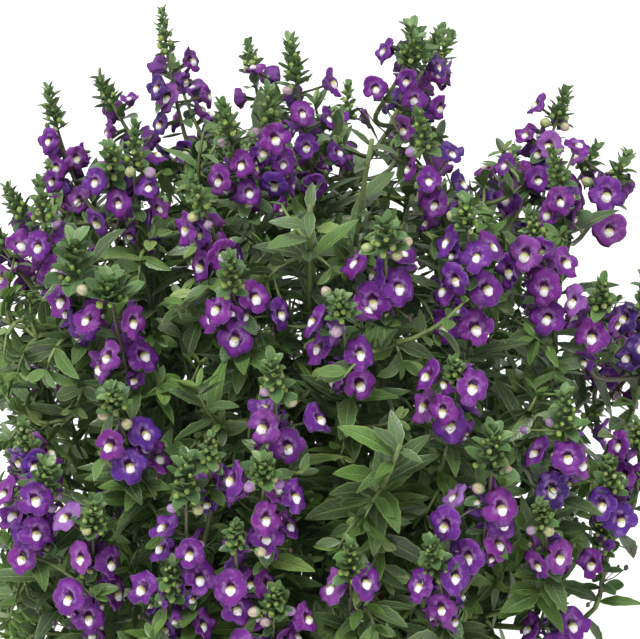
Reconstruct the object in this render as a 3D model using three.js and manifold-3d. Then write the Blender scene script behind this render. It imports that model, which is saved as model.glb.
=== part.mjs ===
// A potted angelonia: a round bush of upright flower racemes on leafy stems, in a plain clay pot.
// Millimetres, +Z up, -Y is the front. The origin is the middle of the pot's underside.

import * as THREE from "three";
import { mergeVertices } from "three/addons/utils/BufferGeometryUtils.js";
import Module from "manifold-3d";

// Pot and soil
const POT_HEIGHT = 165;
const POT_BASE_RADIUS = 68;
const POT_RIM_RADIUS = 100;
const POT_RIM_DEPTH = 34;
const POT_WALL = 8;
const POT_FLOOR = 9;
const POT_SIDES = 20;
const DRAIN_RADIUS = 7;
const DRAIN_DISTANCE = 40;
const DRAIN_COUNT = 3;
const SOIL_TOP = 149;
const SOIL_CROWN = 4;
const SEAT_GAP = 0.3;

// Bush: racemes end on an egg-shaped skin
const BUSH_MIDDLE = 330;
const BUSH_RADIUS = 195;
const BUSH_HALF_HEIGHT = 190;
const FOOT_DEPTH = 0.8;

// Stems
const STEM_COUNT = 10;
const STEM_RING = 26;
const STEM_BURIED = 22;
const STEM_RADIUS = 2.8;
const STEM_SIDES = 4;
const BRANCH_RADIUS = 1.6;
const RACHIS_RADIUS = 1.4;
const TIP_RADIUS = 0.9;
const NODE_LENGTH = 3;
const STEM_BOW = { out: 1.15, rise: 0.3 };
const STEM_END = { out: 0.42, rise: 0.62 };
const BRANCH_FIRST = 0.24;
const BRANCH_SPAN = 0.68;
const BRANCH_BEND = 0.42;
const BRANCH_STATION = 0.4;
const SHOOT_SKIN = 0.97;
const SHOOT_LEAN = { out: 0.7, rise: 130 };

// Flowers and buds
const FLOWER_RADIUS = 10.5;
const FLOWER_REACH = 12;
const FLOWER_RISE = 4;
const BUD_REACH = 7.5;
const BUD_RADIUS = 2.7;
const HEAD_LENGTH = 13;
const HEAD_RADIUS = 4;
const HEAD_BELLY = 0.45;
const RACHIS_STEPS = 40;
const FIRST_FLOWER_STEP = 4;
const LAST_FLOWER_STEP = 34;

// Leaves
const LEAF_LENGTHS = [22, 34];
const LEAF_WIDTH_SHARE = 0.3;
const LEAF_THICKNESS = 1.2;

// Racemes on the far side
const BACK_SPRAYS = 13;
const BACK_FLOWERS = 4;
const BACK_TURNS = [0, 95, 205, 320];
const BACK_TOP = 515;
const BACK_BOTTOM = 222;
const BACK_BEARINGS = [-4, 186];
const BACK_LEAN = 0.55;
const BACK_UPRIGHT = { least: 0.45, more: 0.4, over: 150 };
const BACK_SKIN = [0.95, 1.02];
const BACK_STRETCH = [0.9, 1.1];
const BACK_FIRST_FLOWER = 0.16;
const BACK_FLOWER_SPAN = 0.54;
const BACK_FIRST_TURN = [-60, -30];
const BACK_TURN_PLAY = [-15, 15];
const GOLDEN_TURN = 137.5;
const RACEME_LENGTH = 60;
const FORK_LENGTH = 48;
const FORK_DROP = [2, 12];
const FORK_LIFT = [-2, 10];

// Branching and clearances
const RACHIS_BOW = 0.06;
const FORK_SHARE = 0.08;
const RIM_CLEARANCE = 9;
const FORK_SPREAD = 48;
const FORK_BOW = 0.4;
const FORK_STATIONS = [0.3, 0.65, 1];
const HOLE_RADIUS = 4.2;
const CLEARANCE = 0.5;
const SHARED_BAND_TURN = 0.35;
const SHARED_BAND_REACH = 10;
const NODE_SPACING = 1.5;
const LONGEST_BASE = 9;

// How a flower, bud or leaf may be bent clear: turns about its stem in degrees, and lifts.
const FLOWER_SWINGS = [0, 20, -20, 40, -40, 65, -65, 95, -95];
const FLOWER_LIFTS = [0, 4, -4, 8, -8];
const LEAF_SWINGS = [0, 25, -25, 50, -50, 80, -80];
const LEAF_RISES = [0.5, 0.9, 0.15, 1.4];

// Leaf outlines: place along the leaf, and the shares of the half width on the right and the left.
const SMALL_LEAF_OUTLINE = [
  [0.14, 0.2, 0.2],
  [0.5, 1, 1],
];
const LARGE_LEAF_OUTLINE = [
  [0.12, 0.2, 0.2],
  [0.42, 1, 0.8],
  [0.68, 0.62, 0.82],
];
const LARGE_LEAF = 32.5;
const LEAF_DROOP = 0.18;
const BRANCH_LEAVES = [8, 34];
const SHOOT_LEAVES = [5, 20];
const SHOOT_LEAF_LENGTHS = [16, 20];
const LEAVES_FROM = 0.3;
const SECOND_LEAF = [0.85, 1];

// Flower outline: the two upper lobes of the hood, the side lobes and the lower lobe, with the notches
// between them, as angle from the right, share of the radius and millimetres forward.
const FLOWER_RIM = [
  [34, 0.66, -0.5],
  [70, 1, 1],
  [110, 1, 1],
  [146, 0.66, -0.5],
  [186, 1.02, 1.5],
  [226, 0.6, -0.5],
  [270, 0.9, 1],
  [314, 0.6, -0.5],
  [354, 1.02, 1.5],
];
const THROAT_DEPTH = 0.3;
const FAR_NECK_SHARE = 0.2;
const FLOWER_SIDE = 0.8;
const FLOWER_LOOK = 0.5;
const FLOWER_LIFT = 0.12;
const NECK_SHARE = 0.36;
const NECK_RADIUS = 1.1;

// The front is laid out as seen by an eye a little above it, on a picture of 640 by 639 pixels.
const EYE = new THREE.Vector3(5.5, -1467, 660);
const EYE_TILT = THREE.MathUtils.degToRad(12);
const PICTURE_MIDDLE = [320, 319.5];
const PICTURE_FOCAL = 2727;

// Front racemes in picture pixels: tip, foot, open flowers, large buds and how near the skin they are.
// Each spray is one main raceme and the ones that fork from it.
const FRONT_SPRAYS = [
  [
    { tip: [48, 90], foot: [85, 205], flowers: [[49, 140], [76, 143], [57, 165], [98, 165], [62, 195]] },
    { tip: [111, 148], foot: [118, 205], flowers: [[118, 187], [100, 195], [109, 212], [95, 178]] },
  ],
  [
    {
      tip: [135, 127],
      foot: [140, 245],
      flowers: [[144, 189], [165, 178], [158, 208]],
      buds: [[155, 167], [130, 172]],
    },
  ],
  [
    {
      tip: [162, 13],
      foot: [197, 175],
      flowers: [[191, 60], [157, 87], [208, 88], [209, 108], [160, 117], [160, 142], [195, 80]],
    },
  ],
  [
    {
      tip: [223, 107],
      foot: [250, 205],
      flowers: [[242, 164], [249, 192], [219, 172], [281, 193]],
      buds: [[232, 115], [257, 137], [222, 143]],
    },
    { tip: [269, 90], foot: [275, 190], flowers: [[275, 130], [270, 160]] },
  ],
  [
    {
      tip: [290, 43],
      foot: [315, 185],
      flowers: [[302, 113], [306, 139], [290, 148], [300, 172], [332, 82], [328, 118], [338, 152]],
      buds: [[302, 89]],
    },
  ],
  [
    {
      tip: [413, 32],
      foot: [412, 150],
      flowers: [[385, 50], [437, 58], [440, 92], [388, 95], [433, 105], [386, 72]],
    },
  ],
  [
    {
      tip: [418, 115],
      foot: [445, 225],
      flowers: [[429, 172], [435, 196], [407, 173], [395, 175], [450, 165], [462, 183]],
      buds: [[411, 152], [434, 133]],
    },
  ],
  [
    {
      tip: [565, 92],
      foot: [525, 195],
      flowers: [[536, 104], [505, 165], [549, 145], [530, 145], [538, 165], [500, 142], [500, 178]],
      buds: [[553, 126], [565, 127]],
    },
  ],
  [
    { tip: [552, 150], foot: [565, 225], flowers: [[560, 185], [551, 209], [572, 175]] },
    {
      tip: [627, 155],
      foot: [590, 225],
      flowers: [[607, 194], [598, 208], [578, 155]],
      buds: [[587, 182]],
    },
  ],
  [
    { tip: [75, 245], foot: [85, 330], flowers: [[84, 310], [62, 300]] },
    {
      tip: [40, 183],
      foot: [60, 290],
      flowers: [[70, 236], [38, 246], [55, 270], [90, 250]],
      buds: [[45, 229]],
    },
  ],
  [
    {
      tip: [110, 283],
      foot: [130, 380],
      flowers: [[108, 348], [143, 355], [88, 335], [100, 367], [158, 351], [133, 305]],
      buds: [[107, 284], [83, 290]],
    },
  ],
  [
    {
      tip: [193, 180],
      foot: [230, 270],
      flowers: [[223, 238], [186, 228], [206, 256]],
      buds: [[190, 215], [208, 225]],
    },
  ],
  [
    {
      tip: [230, 258],
      foot: [240, 340],
      flowers: [[254, 297], [235, 322], [280, 305], [212, 325], [217, 300]],
    },
  ],
  [
    {
      tip: [340, 298],
      foot: [350, 390],
      flowers: [[360, 345], [359, 367], [335, 338], [319, 347], [314, 320], [376, 331]],
      buds: [[316, 302], [329, 327]],
    },
  ],
  [
    {
      tip: [385, 225],
      foot: [385, 310],
      flowers: [[373, 285], [397, 277], [356, 270], [409, 279]],
      buds: [[367, 248], [397, 255], [408, 247]],
    },
  ],
  [
    {
      tip: [465, 203],
      foot: [470, 345],
      flowers: [
        [477, 248],
        [486, 288],
        [443, 290],
        [445, 311],
        [455, 263],
        [475, 328],
        [445, 245],
        [493, 258],
      ],
      buds: [[447, 222]],
    },
  ],
  [
    {
      tip: [530, 215],
      foot: [555, 325],
      share: 0.93,
      flowers: [[531, 238], [510, 255], [565, 262], [545, 272], [548, 310]],
    },
  ],
  [
    { tip: [645, 275], foot: [640, 385], flowers: [[625, 310], [638, 330], [628, 365]] },
    { tip: [602, 285], foot: [590, 360], flowers: [[592, 328], [573, 295], [573, 323], [612, 285]] },
  ],
  [
    { tip: [638, 425], foot: [635, 500], flowers: [[624, 468], [617, 433]], buds: [[632, 445]] },
  ],
  [
    {
      tip: [455, 362],
      foot: [450, 435],
      flowers: [[450, 408], [425, 405], [428, 375], [440, 390], [473, 370]],
      buds: [[458, 388]],
    },
  ],
  [
    {
      tip: [272, 362],
      foot: [280, 455],
      flowers: [[264, 410], [287, 430], [262, 437], [319, 418]],
      buds: [[291, 402], [265, 392], [258, 378]],
    },
  ],
  [
    {
      tip: [112, 392],
      foot: [140, 475],
      flowers: [[106, 434], [145, 433], [126, 452], [158, 457]],
      buds: [[106, 418], [127, 424], [95, 407]],
    },
  ],
  [
    {
      tip: [48, 468],
      foot: [35, 550],
      flowers: [[36, 517], [15, 515], [22, 542], [4, 493], [31, 480]],
      buds: [[33, 487], [52, 508], [58, 496]],
    },
    { tip: [22, 425], foot: [42, 480], flowers: [[38, 447]] },
  ],
  [
    {
      tip: [88, 567],
      foot: [90, 635],
      flowers: [[88, 602], [116, 585], [67, 577], [69, 600]],
      buds: [[91, 583], [101, 571]],
    },
    {
      tip: [95, 505],
      foot: [95, 580],
      flowers: [[80, 550], [111, 555], [67, 532]],
      buds: [[95, 527], [106, 527]],
    },
  ],
  [
    { tip: [172, 565], foot: [172, 640], flowers: [[144, 588], [202, 607]] },
  ],
  [
    {
      tip: [187, 458],
      foot: [190, 600],
      flowers: [[165, 527], [182, 537], [159, 554], [187, 570], [208, 568]],
      buds: [[198, 510], [172, 508], [198, 548]],
    },
    { tip: [210, 438], foot: [212, 500], flowers: [], buds: [[215, 467]] },
  ],
  [
    {
      tip: [263, 462],
      foot: [265, 550],
      flowers: [[232, 478], [237, 494], [266, 502], [257, 519], [288, 525], [295, 496]],
      buds: [[240, 470], [278, 484]],
    },
  ],
  [
    {
      tip: [235, 528],
      foot: [240, 610],
      flowers: [[230, 572], [252, 574], [236, 592], [268, 575]],
      buds: [[262, 545]],
    },
  ],
  [
    {
      tip: [277, 590],
      foot: [270, 665],
      flowers: [[243, 615], [262, 636], [307, 617], [297, 635]],
      buds: [[265, 622], [253, 606], [290, 611]],
    },
  ],
  [
    { tip: [350, 545], foot: [350, 620], flowers: [[331, 587], [366, 573]] },
  ],
  [
    { tip: [430, 545], foot: [445, 620], flowers: [[455, 568], [441, 592], [420, 577]] },
    {
      tip: [493, 433],
      foot: [480, 560],
      flowers: [[501, 499], [500, 518], [455, 496], [439, 486], [447, 518], [464, 531], [493, 537]],
      buds: [[484, 493], [507, 470]],
    },
  ],
  [
    {
      tip: [565, 395],
      foot: [560, 490],
      flowers: [[536, 452], [568, 441], [580, 455], [552, 474]],
      buds: [[525, 430], [550, 426]],
    },
  ],
  [
    {
      tip: [540, 505],
      foot: [548, 570],
      flowers: [[560, 541]],
      buds: [[549, 531], [531, 530], [560, 518]],
    },
  ],
  [
    { tip: [600, 520], foot: [600, 595], flowers: [[592, 548], [606, 556]] },
    { tip: [608, 460], foot: [610, 540], flowers: [[602, 489], [615, 507]] },
  ],
  [
    { tip: [557, 583], foot: [555, 665], flowers: [[572, 617], [530, 628], [560, 635]] },
  ],
];

// Leafy shoots without flowers: where their tips are in the picture.
const LEAFY_SHOOTS = [
  [100, 452],
  [367, 600],
  [400, 445],
  [310, 205],
  [372, 140],
  [20, 590],
  [330, 650],
  [505, 650],
];

// Repeatable random numbers
function seededRandom(seed) {
  let state = seed;
  return () => {
    state = (state * 16807) % 2147483647;
    return state / 2147483647;
  };
}

// Vectors
const UP = new THREE.Vector3(0, 0, 1);
const degrees = THREE.MathUtils.degToRad;

function vector(x, y, z) {
  return new THREE.Vector3(x, y, z);
}

function minus(a, b) {
  return a.clone().sub(b);
}

function cross(a, b) {
  return a.clone().cross(b);
}

function along(start, direction, distance) {
  return start.clone().addScaledVector(direction, distance);
}

function unit(v) {
  return v.clone().normalize();
}

function turned(v, axis, angle) {
  const sideways = cross(axis, v);
  const ahead = axis.clone().multiplyScalar(axis.dot(v) * (1 - Math.cos(angle)));
  return ahead.addScaledVector(v, Math.cos(angle)).addScaledVector(sideways, Math.sin(angle));
}

// A direction square to the axis and as near as it goes to the wish.
function squareTo(axis, wish) {
  return unit(along(wish, axis, -axis.dot(wish)));
}

// Sight lines from the eye through a pixel of the picture
function sightLine(pixel) {
  const ahead = vector(0, Math.cos(EYE_TILT), -Math.sin(EYE_TILT));
  const above = vector(0, Math.sin(EYE_TILT), Math.cos(EYE_TILT));
  const line = ahead.multiplyScalar(PICTURE_FOCAL);
  line.x += pixel[0] - PICTURE_MIDDLE[0];
  return unit(along(line, above, PICTURE_MIDDLE[1] - pixel[1]));
}

function seenAtDepth(pixel, y) {
  const line = sightLine(pixel);
  return along(EYE, line, (y - EYE.y) / line.y);
}

// Where the sight line meets the bush's skin, or passes nearest to it.
function seenOnSkin(pixel, share) {
  const line = sightLine(pixel);
  const size = vector(BUSH_RADIUS, BUSH_RADIUS, BUSH_HALF_HEIGHT);
  const from = minus(EYE, vector(0, 0, BUSH_MIDDLE)).divide(size);
  const step = line.clone().divide(size);
  const a = step.dot(step);
  const b = from.dot(step);
  const c = from.dot(from) - share * share;
  const reach = (-b - Math.sqrt(Math.max(0, b * b - a * c))) / a;
  return along(EYE, line, reach);
}

// A path is a quadratic curve from start over a control point to end.
function makePath(start, control, end) {
  const rounds = start.distanceTo(control) + control.distanceTo(end);
  return { start, control, end, length: (rounds + start.distanceTo(end)) / 2 };
}

function pathPoint(path, t) {
  const point = path.start.clone().multiplyScalar((1 - t) * (1 - t));
  return point.addScaledVector(path.control, 2 * t * (1 - t)).addScaledVector(path.end, t * t);
}

function pathDirection(path, t) {
  const early = minus(path.control, path.start).multiplyScalar(1 - t);
  return unit(along(early, minus(path.end, path.control), t));
}

// Everything placed so far. Each item is known by its main direction and by points around it.
const placed = [];

function makeItem(axis, points) {
  const centre = vector(0, 0, 0);
  for (const point of points) centre.addScaledVector(point, 1 / points.length);
  let radius = 0;
  for (const point of points) radius = Math.max(radius, point.distanceTo(centre));
  return { axis, points, centre, radius };
}

function spanAlong(item, axis) {
  let low = Infinity;
  let high = -Infinity;
  for (const point of item.points) {
    const height = point.dot(axis);
    low = Math.min(low, height);
    high = Math.max(high, height);
  }
  return [low, high];
}

// Two items are apart when a plane fits between them.
function areApart(one, other) {
  const line = minus(other.centre, one.centre);
  if (line.length() > one.radius + other.radius + CLEARANCE) return true;
  const axes = [
    line,
    one.axis,
    other.axis,
    minus(one.axis, other.axis),
    along(one.axis, other.axis, 1),
    cross(one.axis, other.axis),
    cross(one.axis, line),
    cross(other.axis, line),
    along(line, one.axis, -one.axis.dot(line)),
    along(line, other.axis, -other.axis.dot(line)),
  ];
  for (const axis of axes) {
    const length = axis.length();
    if (length < 0.001) continue;
    const [oneLow, oneHigh] = spanAlong(one, axis);
    const [otherLow, otherHigh] = spanAlong(other, axis);
    if (Math.max(otherLow - oneHigh, oneLow - otherHigh) > CLEARANCE * length) return true;
  }
  return false;
}

// The pot takes up the space below its rim, apart from the mouth above the soil.
function isClearOfPot(point) {
  const distance = Math.hypot(point.x, point.y);
  if (point.z > POT_HEIGHT + 2 || distance > POT_RIM_RADIUS + 2) return true;
  return distance < POT_RIM_RADIUS - POT_WALL - 3 && point.z > SOIL_TOP + SOIL_CROWN + 1;
}

function isClear(item) {
  return item.points.every(isClearOfPot) && placed.every((other) => areApart(item, other));
}

// A stretch of stem between two places, as an item.
function stemItem(from, to, radius) {
  const axis = unit(minus(to, from));
  const side = squareTo(axis, Math.abs(axis.z) < 0.9 ? UP : vector(1, 0, 0));
  const across = cross(axis, side);
  const points = [];
  for (const end of [from, to]) {
    for (const reach of [radius, -radius]) {
      points.push(along(end, side, reach), along(end, across, reach));
    }
  }
  return makeItem(axis, points);
}

function placePath(path, radius) {
  const pieces = Math.max(2, Math.round(path.length / 20));
  for (let k = 0; k < pieces; k += 1) {
    placed.push(stemItem(pathPoint(path, k / pieces), pathPoint(path, (k + 1) / pieces), radius));
  }
}

// Racemes
const random = seededRandom(4711);

function between(low, high) {
  return low + (high - low) * random();
}

function frontRaceme(entry) {
  const tip = seenOnSkin(entry.tip, entry.share ?? 1);
  const foot = seenAtDepth(entry.foot, tip.y * FOOT_DEPTH);
  const outward = unit(vector(tip.x, tip.y, 0));
  const control = along(foot.clone().lerp(tip, 0.5), outward, tip.distanceTo(foot) * RACHIS_BOW);
  const path = makePath(foot, control, tip);
  const look = sightLine(entry.tip).negate();
  const wanted = entry.flowers.map((pixel) => seenFlower(path, pixel, FLOWER_REACH, FLOWER_RISE));
  const buds = (entry.buds ?? []).map((pixel) => seenFlower(path, pixel, BUD_REACH, 0));
  return { path, look, wanted, buds };
}

// A flower that is seen at a pixel: its root on the rachis, and its middle on the near side.
function seenFlower(path, pixel, reach, rise) {
  const line = sightLine(pixel);
  let share = 0;
  let least = Infinity;
  for (let k = FIRST_FLOWER_STEP; k <= LAST_FLOWER_STEP; k += 1) {
    const from = minus(pathPoint(path, k / RACHIS_STEPS), EYE);
    from.z += rise;
    const distance = cross(from, line).length();
    if (distance < least) {
      least = distance;
      share = k / RACHIS_STEPS;
    }
  }
  const root = pathPoint(path, share);
  const near = line.dot(minus(root, EYE));
  const aside = along(EYE, line, near).distanceTo(root);
  const forward = Math.sqrt(Math.max(0, reach * reach - aside * aside));
  return { share, arm: minus(along(EYE, line, near - forward), root) };
}

// A raceme on the far side, at a place on the skin given by bearing and height.
function backRaceme(bearing, height, length) {
  const level = (height - BUSH_MIDDLE) / BUSH_HALF_HEIGHT;
  const reach = BUSH_RADIUS * Math.sqrt(Math.max(0.02, 1 - level * level)) * between(...BACK_SKIN);
  const outward = vector(Math.cos(bearing), Math.sin(bearing), 0);
  const tip = along(vector(0, 0, height), outward, reach);
  const { least, more, over } = BACK_UPRIGHT;
  const upright = least + more * Math.min(1, (height - BACK_BOTTOM) / over);
  const lean = vector(outward.x * BACK_LEAN, outward.y * BACK_LEAN, upright).normalize();
  const foot = along(tip, lean, -length * between(...BACK_STRETCH));
  const control = along(foot.clone().lerp(tip, 0.5), outward, tip.distanceTo(foot) * RACHIS_BOW);
  const path = makePath(foot, control, tip);
  const wanted = [];
  const first = between(...BACK_FIRST_TURN);
  for (let k = 0; k < BACK_FLOWERS; k += 1) {
    const share = BACK_FIRST_FLOWER + (BACK_FLOWER_SPAN * k) / (BACK_FLOWERS - 1);
    const turn = BACK_TURNS[k % BACK_TURNS.length] + first + between(...BACK_TURN_PLAY);
    wanted.push(ruledFlower(path, outward, share, turn, FLOWER_REACH, FLOWER_RISE));
  }
  return { path, look: unit(along(outward, UP, 0.2)), wanted, buds: [], isFar: true };
}

function ruledFlower(path, outward, share, turn, reach, rise) {
  const axis = pathDirection(path, share);
  const arm = turned(squareTo(axis, outward), axis, degrees(turn)).multiplyScalar(reach);
  arm.z += rise;
  return { share, arm };
}

// A fork leaves its main raceme near the foot and rises to a foot of its own.
function forkStalk(main, fork) {
  const start = pathPoint(main.path, FORK_SHARE);
  const end = fork.path.start;
  const drop = start.distanceTo(end) * FORK_BOW;
  return makePath(start, along(end, pathDirection(fork.path, 0), -drop), end);
}

const sprays = [];
for (const entries of FRONT_SPRAYS) sprays.push(entries.map(frontRaceme));
for (let k = 0; k < BACK_SPRAYS; k += 1) {
  const height = BACK_TOP - ((BACK_TOP - BACK_BOTTOM) * (k + 0.5)) / BACK_SPRAYS;
  const [firstBearing, lastBearing] = BACK_BEARINGS;
  const bearing = degrees(firstBearing + ((k * GOLDEN_TURN) % (lastBearing - firstBearing)));
  const level = (height - BUSH_MIDDLE) / BUSH_HALF_HEIGHT;
  const spread = FORK_SPREAD / (BUSH_RADIUS * Math.sqrt(Math.max(0.1, 1 - level * level)));
  const main = backRaceme(bearing, height, RACEME_LENGTH);
  const lower = backRaceme(bearing + spread, height - between(...FORK_DROP), FORK_LENGTH);
  const upper = backRaceme(bearing - spread, height + between(...FORK_LIFT), FORK_LENGTH);
  sprays.push([main, lower, upper]);
}
for (const [main, ...forks] of sprays) {
  for (const fork of forks) fork.stalk = forkStalk(main, fork);
}

// Stems: sprays and leafy shoots in order around the bush, each run of them on one stem
function leafyShoot(pixel) {
  const tip = seenOnSkin(pixel, SHOOT_SKIN);
  const lean = unit(vector(tip.x * SHOOT_LEAN.out, tip.y * SHOOT_LEAN.out, SHOOT_LEAN.rise));
  return { tip, lean };
}

function bearingOf(point) {
  return Math.atan2(point.y, point.x);
}

const ends = sprays.map((spray) => {
  const { path } = spray[0];
  const lean = pathDirection(path, 0);
  return { place: along(path.start, lean, -SEAT_GAP), lean, isShoot: false };
});
for (const pixel of LEAFY_SHOOTS) {
  const { tip, lean } = leafyShoot(pixel);
  ends.push({ place: tip, lean, isShoot: true });
}
ends.sort((one, other) => bearingOf(one.place) - bearingOf(other.place));

const stems = [];
for (let k = 0; k < STEM_COUNT; k += 1) {
  const first = Math.round((k * ends.length) / STEM_COUNT);
  const last = Math.round(((k + 1) * ends.length) / STEM_COUNT);
  stems.push(makeStem(ends.slice(first, last)));
}

function makeStem(carried) {
  const middle = vector(0, 0, 0);
  for (const end of carried) middle.addScaledVector(end.place, 1 / carried.length);
  const outward = unit(vector(middle.x, middle.y, 0));
  const root = along(vector(0, 0, SOIL_TOP - STEM_BURIED), outward, STEM_RING);
  const collar = vector(root.x, root.y, SOIL_TOP + SOIL_CROWN + 3);
  const rise = middle.z - collar.z;
  const bow = vector(root.x * STEM_BOW.out, root.y * STEM_BOW.out, collar.z + rise * STEM_BOW.rise);
  const end = vector(middle.x * STEM_END.out, middle.y * STEM_END.out, collar.z + rise * STEM_END.rise);
  const path = makePath(collar, bow, end);
  const sorted = [...carried].sort((one, other) => one.place.z - other.place.z);
  const branches = sorted.map((carriedEnd, k) => {
    const share = BRANCH_FIRST + (BRANCH_SPAN * k) / Math.max(1, sorted.length - 1);
    const fork = pathPoint(path, share);
    const drop = (carriedEnd.place.z - POT_HEIGHT - RIM_CLEARANCE) / carriedEnd.lean.z;
    const back = Math.min(fork.distanceTo(carriedEnd.place) * BRANCH_BEND, Math.max(4, drop));
    const bend = along(carriedEnd.place, carriedEnd.lean, -back);
    const way = squareTo(pathDirection(path, share), minus(bend, fork));
    const branchPath = makePath(along(fork, way, STEM_RADIUS + 2), bend, carriedEnd.place);
    return { share, way, path: branchPath, isShoot: carriedEnd.isShoot, leaves: [] };
  });
  return { root, path, branches };
}

// What is there before the flowers and leaves
for (const stem of stems) {
  placed.push(stemItem(stem.root, stem.path.start, STEM_RADIUS));
  placePath(stem.path, STEM_RADIUS);
  for (const branch of stem.branches) placePath(branch.path, BRANCH_RADIUS);
}
for (const spray of sprays) {
  for (const raceme of spray) {
    placePath(raceme.path, RACHIS_RADIUS);
    if (raceme.stalk) placePath(raceme.stalk, RACHIS_RADIUS);
    const neck = pathPoint(raceme.path, 1 - HEAD_LENGTH / raceme.path.length);
    placed.push(stemItem(neck, raceme.path.end, HEAD_RADIUS));
  }
}

// Flowers
function flowerRim(flower) {
  const right = unit(cross(UP, flower.facing));
  const above = cross(flower.facing, right);
  return FLOWER_RIM.map(([angle, share, forward]) => {
    const point = along(flower.centre, flower.facing, forward);
    point.addScaledVector(right, FLOWER_RADIUS * share * Math.cos(degrees(angle)));
    return point.addScaledVector(above, FLOWER_RADIUS * share * Math.sin(degrees(angle)));
  });
}

function flowerNeck(flower) {
  const ahead = unit(flower.arm);
  const middle = along(flower.root, flower.arm, flower.hasNeck ? NECK_SHARE : FAR_NECK_SHARE);
  return ringPoints(middle, ahead, squareTo(ahead, flower.facing), NECK_RADIUS, 3);
}

// A flower at its wanted place, or bent clear of what is there already. Null means that none fits.
function placeFlower(raceme, { share, arm }) {
  const axis = pathDirection(raceme.path, share);
  const root = pathPoint(raceme.path, share);
  for (const stretch of [1, 1.25]) {
    for (const swing of FLOWER_SWINGS) {
      for (const lift of FLOWER_LIFTS) {
        const bent = turned(arm, axis, degrees(swing)).multiplyScalar(stretch);
        bent.z += lift;
        const facing = unit(bent).multiplyScalar(FLOWER_SIDE).addScaledVector(raceme.look, FLOWER_LOOK);
        facing.addScaledVector(UP, FLOWER_LIFT).normalize();
        const hasNeck = !raceme.isFar;
        const flower = { share, root, arm: bent, centre: along(root, bent, 1), facing, hasNeck };
        const points = flowerRim(flower);
        points.push(...flowerNeck(flower));
        const item = makeItem(facing, points);
        if (isClear(item)) {
          placed.push(item);
          return flower;
        }
      }
    }
  }
  return null;
}

function placeBud(raceme, { share, arm }) {
  const axis = pathDirection(raceme.path, share);
  const root = pathPoint(raceme.path, share);
  for (const swing of FLOWER_SWINGS) {
    const bent = turned(arm, axis, degrees(swing));
    const ahead = unit(bent);
    const bud = { share, root, arm: bent, centre: along(root, bent, 1) };
    const points = ringPoints(bud.centre, ahead, squareTo(ahead, UP), BUD_RADIUS, 4);
    points.push(along(bud.centre, ahead, BUD_RADIUS), along(root, bent, NECK_SHARE));
    const item = makeItem(ahead, points);
    if (isClear(item)) {
      placed.push(item);
      return bud;
    }
  }
  return null;
}

function ringPoints(centre, axis, side, radius, sides) {
  const points = [];
  for (let k = 0; k < sides; k += 1) {
    points.push(along(centre, turned(side, axis, (2 * Math.PI * k) / sides), radius));
  }
  return points;
}

for (const spray of sprays) {
  for (const raceme of spray) {
    raceme.flowers = raceme.wanted.map((wanted) => placeFlower(raceme, wanted)).filter(Boolean);
  }
}
for (const spray of sprays) {
  for (const raceme of spray) {
    raceme.buds = raceme.buds.map((wanted) => placeBud(raceme, wanted)).filter(Boolean);
  }
}

// Leaves
function leafPoint(leaf, share, aside, sunk) {
  const point = along(leaf.root, leaf.ahead, leaf.length * share);
  point.z -= LEAF_DROOP * leaf.length * share * share;
  return along(along(point, leaf.across, aside), leaf.upper, -sunk);
}

function leafSections(leaf) {
  const outline = leaf.length > LARGE_LEAF ? LARGE_LEAF_OUTLINE : SMALL_LEAF_OUTLINE;
  return outline.map(([share, right, left]) => {
    const half = (leaf.length * LEAF_WIDTH_SHARE) / 2;
    return [
      leafPoint(leaf, share, half * right, 0),
      leafPoint(leaf, share, 0, LEAF_THICKNESS),
      leafPoint(leaf, share, -half * left, 0),
    ];
  });
}

function placeLeaf(branch, share, turn, length) {
  const axis = pathDirection(branch.path, share);
  const root = pathPoint(branch.path, share);
  const side = squareTo(axis, Math.abs(axis.z) < 0.9 ? UP : vector(1, 0, 0));
  for (const swing of LEAF_SWINGS) {
    for (const rise of LEAF_RISES) {
      const outward = turned(side, axis, degrees(turn + swing));
      const ahead = unit(along(outward, axis, rise));
      const across = unit(cross(ahead, axis));
      const leaf = { share, root, arm: ahead, ahead, across, upper: cross(across, ahead), length };
      const points = leafSections(leaf).flat();
      points.push(leafPoint(leaf, 1, 0, 0));
      const item = makeItem(ahead, points);
      if (isClear(item)) {
        placed.push(item);
        branch.leaves.push(leaf);
        return;
      }
    }
  }
}

for (const stem of stems) {
  for (const branch of stem.branches) {
    const distances = branch.isShoot ? SHOOT_LEAVES : BRANCH_LEAVES;
    const first = between(0, 90);
    distances.forEach((distance, k) => {
      const share = 1 - distance / branch.path.length;
      if (share < LEAVES_FROM) return;
      const length = branch.isShoot ? SHOOT_LEAF_LENGTHS[k] : between(...LEAF_LENGTHS);
      placeLeaf(branch, share, first + 90 * k, length);
      if (k === 0) placeLeaf(branch, share, first + 180, length * between(...SECOND_LEAF));
    });
  }
}

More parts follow.
